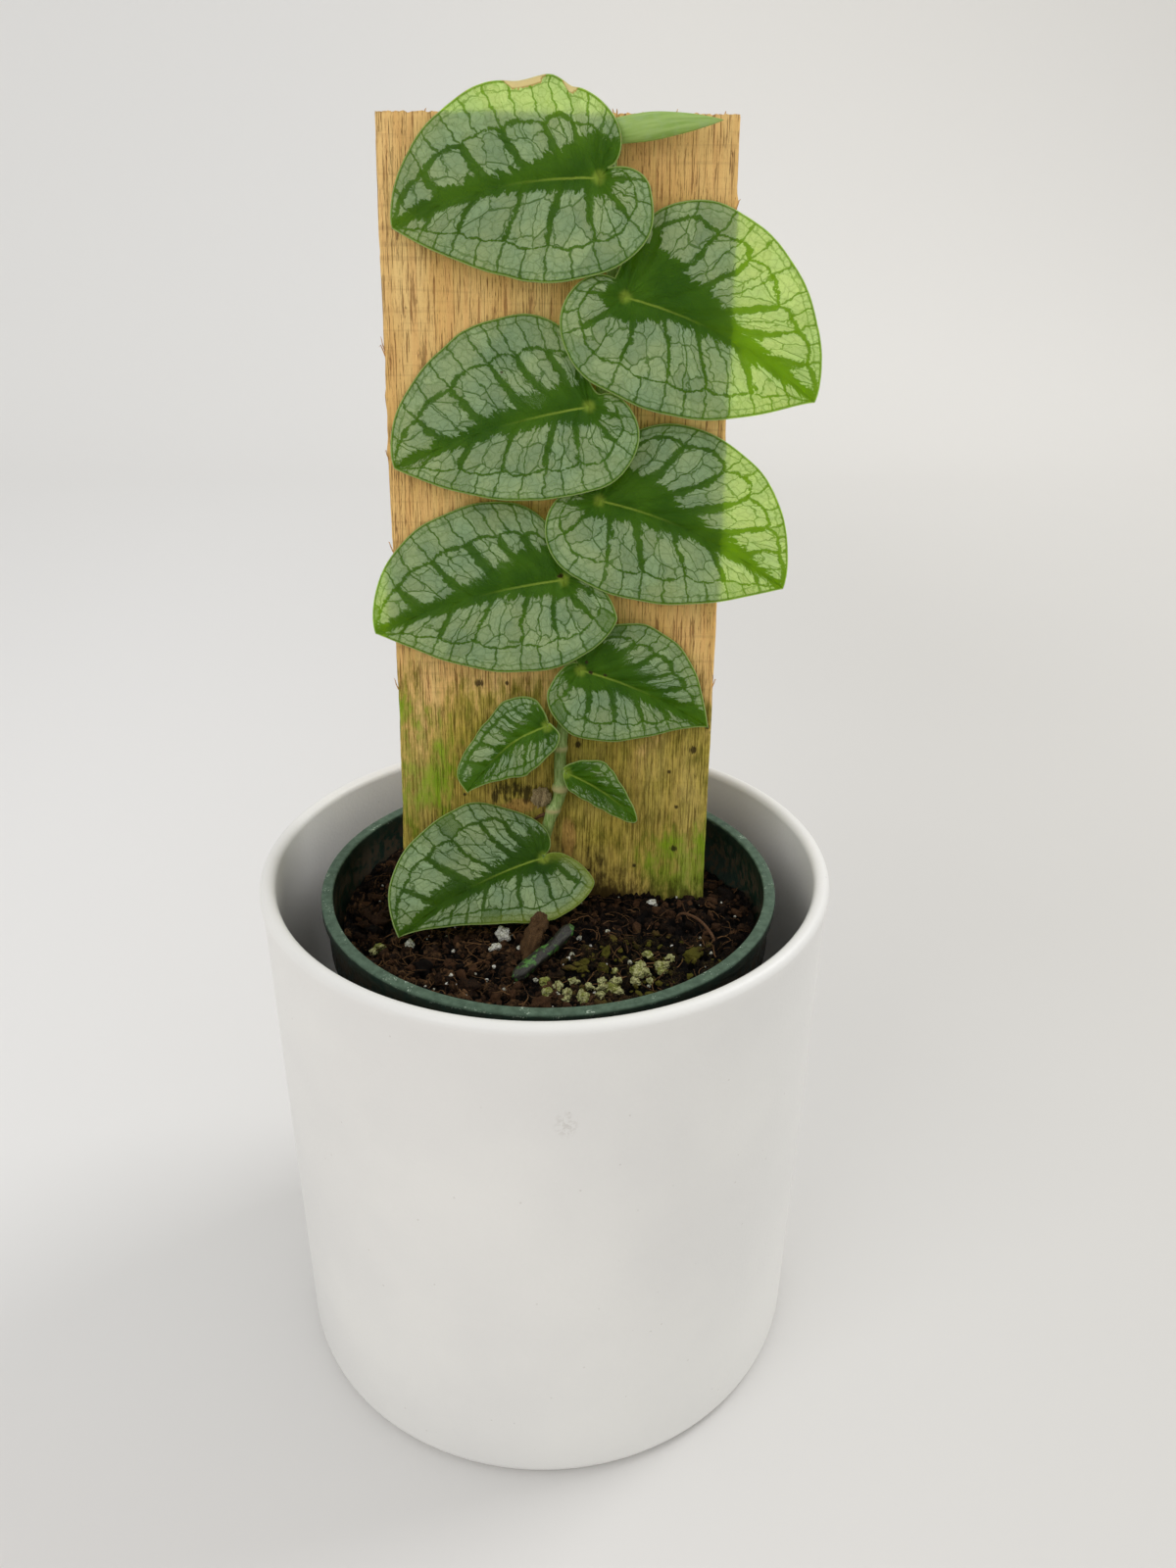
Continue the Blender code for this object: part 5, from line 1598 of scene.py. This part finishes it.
PERLITE = [
    (-10.9, -20.4, 2.6), (-12.6, -25.6, 1.8), (-34.6, -25.4, 1.7), (28.9, -4.6, 1.6),
    (24.0, -37.0, 2.4), (17.5, -43.5, 2.2), (30.5, -33.5, 2.3), (10.5, -48.0, 1.9),
]
CHIPS = [
    (-30.0, -35.0, 3.2), (-18.0, -43.0, 3.6), (38.0, -28.0, 3.0), (50.0, 3.0, 3.4),
    (-44.0, -14.0, 3.3), (0.5, -50.5, 2.8),
]


def grains(places, name, flat, detail, jag, skins):
    for i, (x, y, size) in enumerate(places):
        kind_points, kind_faces = rock(detail, i * 2.9 + len(name), jag)
        turn = Matrix.Rotation((i + 1 + len(name)) * 1.1, 3, "Z")
        spot = Vector((x, y, mix_height(x, y) + size * flat * 0.25))
        shape = (size * 0.85, size * 0.72, size * flat * 0.85)
        bit = (placed(kind_points, turn, shape, spot), kind_faces, (i * 0.37) % 1.0)
        gather(f"{name}_{i + 1}_piece", [bit], skins[i % len(skins)], True, (f"{name}_{i + 1}",))


def perlite_material(name, low, high, bloom):
    """Pitted puffed grains, white or with a bloom of algae."""
    paint = Paint(name)
    place = paint.place
    pits = paint.cells(place, 1.8, feature="F1", flat=False)
    grime = paint.noise(place, 0.9, 4.0, 0.7)
    own = paint.attribute("own_shade")
    colour = paint.mix(grime.step(0.35, 0.7), high, low)
    colour = paint.mix((grime + own * 0.35 - 0.62).step(0.0, 0.2) * bloom, colour, rgb(120, 128, 40))
    colour = paint.mix(pits.step(0.55, 0.85) * 0.55, colour, rgb(74, 62, 40))
    normal = paint.bump(pits + grime * 0.5, 0.0008, 1.0)
    paint.finish(colour, 0.85, normal, specular=0.2)
    return paint.material


def small_perlite(skin):
    """Small white grains strewn in the mix."""
    draw = np.random.default_rng(14)
    kinds = [rock(2, 5.1 * k + 2, 0.5) for k in range(5)]
    bits = []
    for _ in range(SMALL_GRAINS):
        x, y = place_on_mix(draw, 4.0)
        size = 0.2 + 0.5 * draw.uniform(0, 1) ** 3
        turn = turned_by(draw)
        kind_points, kind_faces = kinds[draw.integers(len(kinds))]
        spot = Vector((x, y, mix_height(x, y) + size * 0.6))
        moved = [(turn @ (p * size) + spot) * MM for p in kind_points]
        bits.append((moved, kind_faces, draw.uniform(0, 1)))
    gather("small_perlite", bits, skin)


# Patches of perlite green with algae: between which angles round the pot's middle, in degrees,
# and at which distances from it they lie, and how many lumps they have
GREEN_PATCHES = [(-92.0, -38.0, 34.0, 44.0, 23), (-156.0, -149.0, 48.0, 51.0, 2)]
GREEN_SIZES = (0.8, 1.6)
GOLDEN = 0.618


def green_lumps(skin):
    """Lumps spread evenly over their patches, with a little disorder."""
    draw = np.random.default_rng(21)
    bits = []
    for start, end, near, far, count in GREEN_PATCHES:
        for i in range(count):
            angle = math.radians(start + (end - start) * (i + draw.uniform(0, 1)) / count)
            away = near + (far - near) * ((i * GOLDEN + draw.uniform(0, 0.15)) % 1.0)
            size = draw.uniform(*GREEN_SIZES)
            x, y = round_pot(angle, away)
            kind_points, kind_faces = rock(3, len(bits) * 4.3 + 1, 0.7)
            turn = turned_by(draw)
            spot = Vector((x, y, mix_height(x, y) + size * 0.45))
            moved = [(turn @ Vector((p.x * size, p.y * size * 0.8, p.z * size * 0.65)) + spot) * MM
                     for p in kind_points]
            bits.append((moved, kind_faces, draw.uniform(0, 1)))
    gather("green_lumps", bits, skin, smooth=True)


# Torn fibres: the board's side, the height on it and the reach; then places along its top
SIDE_SPLINTERS = [
    (-1, 142.9, 1.3), (-1, 144.0, 0.8), (-1, 118.5, 0.9), (1, 175.2, 1.1), (1, 168.5, 0.7),
    (-1, 96.0, 1.0), (1, 131.0, 0.8), (-1, 60.0, 0.9), (1, 62.0, 1.0), (1, 150.0, 0.7),
]
TOP_SPLINTERS = (11.9, 12.9, 13.6, -30.2, 27.0, 38.0, -12.5)


def splinters(skin):
    """Torn fibres that stand off the board's edges."""
    draw = np.random.default_rng(3)
    bits = []
    for side, up, far in SIDE_SPLINTERS:
        edge = side * (BOARD_WIDTH / 2 - 0.4)
        rise = draw.uniform(-0.6, 1.2)
        route = [
            Vector((edge, 0.6, up - 2.5)),
            Vector((edge + side * 0.5, 0.2, up - 1.0)),
            Vector((edge + side * far * 0.7, -0.1, up)),
            Vector((edge + side * far, -0.2, up + rise)),
        ]
        points, faces = thread(route, 0.17)
        bits.append(([BOARD @ Vector(p) for p in points], faces, draw.uniform(0, 1)))
    for across in TOP_SPLINTERS:
        lean = draw.uniform(-1.0, 1.0)
        route = [
            Vector((across, 0.8, BOARD_ABOVE - 1.5)),
            Vector((across + lean * 0.4, 0.7, BOARD_ABOVE + 0.1)),
            Vector((across + lean, 0.6, BOARD_ABOVE + draw.uniform(0.2, 0.7))),
        ]
        points, faces = thread(route, 0.20)
        bits.append(([BOARD @ Vector(p) for p in points], faces, draw.uniform(0, 1)))
    gather("board_splinters", bits, skin)


# Litter and roots

STUB_ROUTE = [(-0.4, -20.6, 147.5), (-1.6, -23.6, 145.0), (-3.0, -27.0, 142.0), (-4.2, -31.0, 138.0)]
STUB_RADIUS = 2.2
CUT_STEM_ROUTE = [(7.2, -22.4, 144.6), (3.0, -28.4, 143.2), (-1.8, -34.6, 142.4), (-6.6, -41.2, 141.6)]
CUT_STEM_RADIUS = 1.7
ROOTLET_ROUTE = [
    (35.0, -8.5, 138.0), (37.0, -11.0, 141.8), (41.0, -15.5, 142.6),
    (44.0, -20.0, 141.0), (45.0, -22.0, 138.5),
]
ROOTLET_RADIUS = 0.36


def bark_material(name, dark, light, scale=1.0):
    paint = Paint(name)
    place = paint.place
    strands = paint.noise(paint.scaled(place, (2.5 * scale, 2.5 * scale, 0.7 * scale)), 1.0, 4.0, 0.7, 0.8)
    grit = paint.noise(place, 1.8 * scale, 4.0, 0.65)
    colour = paint.mix(strands.step(0.25, 0.75), dark, light)
    colour = paint.mix((grit - 0.6).step(0.0, 0.15) * 0.6, colour, tuple(c * 0.35 for c in dark))
    normal = paint.bump(strands + grit * 0.7, 0.0006, 1.0)
    paint.finish(colour, 0.85, normal, specular=0.25)
    return paint.material


def dead_stem_material():
    """A rotting stem: black-brown, wet, with green left in places."""
    paint = Paint("dead_stem")
    place = paint.place
    grit = paint.noise(place, 1.6, 4.0, 0.65)
    patches = paint.noise(place, 0.34, 3.0, 0.6)
    colour = paint.mix(grit.step(0.35, 0.75), rgb(15, 14, 10), rgb(54, 52, 40))
    green = (patches + (grit - 0.5) * 0.35).step(0.50, 0.60)
    colour = paint.mix(green, colour, paint.mix(grit, rgb(34, 84, 22), rgb(88, 140, 58)))
    paint.finish(colour, 0.35 + grit * 0.2, paint.bump(grit, 0.0004, 0.9))
    return paint.material


def rough_tube(name, route, radius, skin, node, jag=0.25, sides=20):
    points = smooth_route([Vector(point) * MM for point in route], 10)

    def swell(share, angle):
        at = Vector((math.cos(angle) * 1.6, math.sin(angle) * 1.6, share * 4 + len(name)))
        return 1 + jag * noise.noise(at) + jag * 0.6 * noise.noise(at * 2.7)

    def thickness(share):
        return radius * min(1.0, 0.50 + (2.2 if jag > 0.3 else 6.0) * share, 0.45 + 8 * (1 - share))

    made = swept(name, points, thickness, skin, sides=sides, shape=swell)
    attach(made, "root")
    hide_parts(node)


def grip_root(number, up, side, skin):
    start = stem_at(up)
    away = STEM_RADIUS
    points = [
        (start[0] + side * away, up, 2.0), (start[0] + side * (away + 1.7), up - 0.8, 1.5),
        (start[0] + side * (away + 3.3), up - 2.6, 0.7), (start[0] + side * (away + 4.7), up - 5.6, 0.5),
    ]
    route = smooth_route([on_board(*point) for point in points], 6)
    made = swept(f"grip_root_{number}_piece", route, lambda share: 0.55 * (1 - 0.55 * share), skin, sides=10)
    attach(made, "root")
    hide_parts(f"grip_root_{number}")


# The crumpled sheath beside the stem: middle and radii in the board's millimetres, rows and sides
BRACT_CENTRE = (-3.4, -2.6, 29.2)
BRACT_RADII = (2.3, 1.8, 2.7)
BRACT_GRID = (26, 40)


def bract(skin):
    """The crumpled dry sheath: a thin skin folded about itself."""
    centre = Vector(BRACT_CENTRE)
    rows, sides = BRACT_GRID
    points = []
    for i in range(rows):
        share = i / (rows - 1)
        polar = math.pi * (0.04 + 0.92 * share)
        for k in range(sides):
            angle = math.tau * k / sides
            wide = math.sin(polar)
            round_place = Vector((wide * math.cos(angle), wide * math.sin(angle), math.cos(polar)))
            fold = 1 + 0.34 * math.sin(7 * angle + 5 * share) * math.sin(polar)
            fold += 0.35 * noise.noise(round_place * 2.2) + 0.18 * noise.noise(round_place * 5.0)
            place = centre + Vector([p * r for p, r in zip(round_place, BRACT_RADII)]) * fold * 0.92
            points.append(BOARD @ (place * MM))
    faces = tube_faces(rows, sides)
    faces += [tuple(range(sides - 1, -1, -1)), tuple((rows - 1) * sides + k for k in range(sides))]
    made = mesh_object("dried_bract_piece", points, faces, skin)
    face_outwards(made)
    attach(made, "root")
    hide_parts("dried_bract")


# Stage

# The pale sweep in metres: half its width, its front edge, its bend's start and radius, its top
SWEEP_HALF = 3.0
SWEEP_FRONT = -1.6
SWEEP_BEND = 1.2
SWEEP_RADIUS = 0.8
SWEEP_TOP = 3.0

# Lights: name, place and aim in metres, size, watts, spread in degrees
LIGHTS = [
    ("front_softbox", (-0.9, -1.1, 1.3), (0.0, 0.0, 0.2), 1.0, 6.5, 180.0),
    ("side_softbox", (0.95, 0.45, 1.2), (0.0, 0.0, 0.1), 0.6, 7.5, 180.0),
    ("back_softbox", (0.07, 1.15, 0.42), (0.0, 0.0, 0.285), 0.20, 0.20, 10.0),
]
ROOM_LIGHT = 0.76

# The photo's camera: millimetres, metres, degrees
CAMERA_LENS = 27.045
CAMERA_SENSOR = 36.0
CAMERA_PLACE = (0.01105, -0.27958, 0.31349)
CAMERA_TILT = 63.63
CAMERA_ROLL = 0.66


def glowing_leaves():
    """The thin leaves, which are all that the light behind the board reaches."""
    group = bpy.data.collections.new("glowing_leaves")
    for made in bpy.context.scene.objects:
        if made.name.endswith("_blade") or made.name == "rolled_leaf":
            group.objects.link(made)
    return group


def stage():
    """A pale floor that sweeps up behind, with painted shade towards the right and painted light far back,
    soft lights and the camera of the photo.
    """
    paint = Paint("pale_sweep")
    x, y, _ = paint.axes(paint.place)
    soft = paint.noise(paint.place, 0.004, 2.0)
    # Painted shade and light: the floor is darker towards the right and lighter far back, with a warmer tint
    # at the front left.
    right = (x + y * 0.1 + soft * 60.0).step(-300.0, 420.0)
    front = (y + soft * 60.0).step(40.0, -340.0) * (1.0 - right)
    far = (y + soft * 60.0).step(500.0, 1700.0)
    pale = paint.mix(right, rgb(228, 227, 226), rgb(206, 204, 200))
    pale = paint.mix(front, pale, rgb(230, 222, 217))
    paint.finish(paint.mix(far, pale, paint.mix(right, rgb(236, 235, 233), rgb(240, 238, 234))), 0.9)
    profile = [(SWEEP_FRONT, 0.0), (SWEEP_BEND, 0.0)]
    for angle in np.linspace(0.05, math.pi / 2, 24):
        up = SWEEP_RADIUS - SWEEP_RADIUS * math.cos(angle)
        profile.append((SWEEP_BEND + SWEEP_RADIUS * math.sin(angle), up))
    profile.append((SWEEP_BEND + SWEEP_RADIUS, SWEEP_TOP))
    points = [(x, y, z) for x in (-SWEEP_HALF, SWEEP_HALF) for y, z in profile]
    sweep = mesh_object("pale_sweep", points, grid_faces(2, len(profile)), paint.material)

    world = bpy.data.worlds.new("soft_room")
    world.use_nodes = True
    background = world.node_tree.nodes["Background"]
    background.inputs["Color"].default_value = (*rgb(255, 255, 254), 1.0)
    background.inputs["Strength"].default_value = ROOM_LIGHT
    bpy.context.scene.world = world

    for name, place, aim, size, power, spread in LIGHTS:
        light = bpy.data.lights.new(name, "AREA")
        light.energy = power
        light.size = size
        light.spread = math.radians(spread)
        lamp = bpy.data.objects.new(name, light)
        lamp.location = place
        lamp.rotation_euler = (Vector(aim) - Vector(place)).to_track_quat("-Z", "Y").to_euler()
        lamp.visible_camera = False
        bpy.context.scene.collection.objects.link(lamp)
        if name == "back_softbox":
            lamp.light_linking.receiver_collection = glowing_leaves()

    camera = bpy.data.cameras.new("camera")
    camera.lens = CAMERA_LENS
    camera.sensor_width = CAMERA_SENSOR
    camera.clip_start = 0.01
    seen_by = bpy.data.objects.new("camera", camera)
    seen_by.location = CAMERA_PLACE
    tilt = Matrix.Rotation(math.radians(CAMERA_TILT), 3, "X")
    roll = Matrix.Rotation(math.radians(CAMERA_ROLL), 3, "Z")
    seen_by.rotation_euler = (tilt @ roll).to_euler()
    bpy.context.scene.collection.objects.link(seen_by)
    bpy.context.scene.camera = seen_by
    bpy.context.scene.view_settings.view_transform = "Standard"


def main():
    leaf_skin = blade_material()
    for name in BLADES:
        blade(name, leaf_skin)
    stem_skin = green_stem_material()
    stem_piece(stem_skin)
    for name in BLADES:
        stalk_piece(name, stem_skin)
    young_leaf(young_leaf_material())
    board_piece(wood_material())
    splinters(bark_material("torn_wood", rgb(196, 142, 84), rgb(236, 190, 128)))
    cachepot(ceramic_material())
    nursery_pot(plastic_material())
    mix_piece(mix_material())
    bark = crumb_material("bark_crumb", rgb(14, 9, 6), rgb(86, 59, 38), green=0.5)
    crumbs(bark)
    fibres(crumb_material("coir_thread", rgb(56, 38, 24), rgb(140, 104, 68)))
    perlite = perlite_material("perlite_grain", rgb(196, 194, 172), rgb(232, 232, 224), 0.35)
    mossy = perlite_material("perlite_with_algae", rgb(130, 132, 70), rgb(196, 196, 140), 0.75)
    grains(PERLITE, "perlite", 0.8, 3, 0.6, [perlite] * 4 + [mossy] * 4)
    grains(CHIPS, "bark_chip", 0.55, 3, 0.8, [bark])
    green_lumps(mossy)
    small_perlite(perlite)
    stub_skin = bark_material("dead_bark", rgb(30, 19, 10), rgb(128, 94, 56), 2.4)
    rough_tube("old_bark_stub_piece", STUB_ROUTE, STUB_RADIUS, stub_skin, "old_bark_stub", 0.6, 40)
    cut_skin = dead_stem_material()
    rough_tube("cut_stem_piece", CUT_STEM_ROUTE, CUT_STEM_RADIUS, cut_skin, "cut_stem", 0.3, 32)
    root_skin = bark_material("root_skin", rgb(74, 48, 30), rgb(132, 96, 66), 1.5)
    rough_tube("rootlet_piece", ROOTLET_ROUTE, ROOTLET_RADIUS, root_skin, "rootlet", 0.2, 10)
    for i, (up, side) in enumerate(GRIPS):
        grip_root(i + 1, up, side, root_skin)
    bract(bark_material("dry_sheath", rgb(104, 84, 50), rgb(222, 198, 148), 2.2))
    stage()


main()
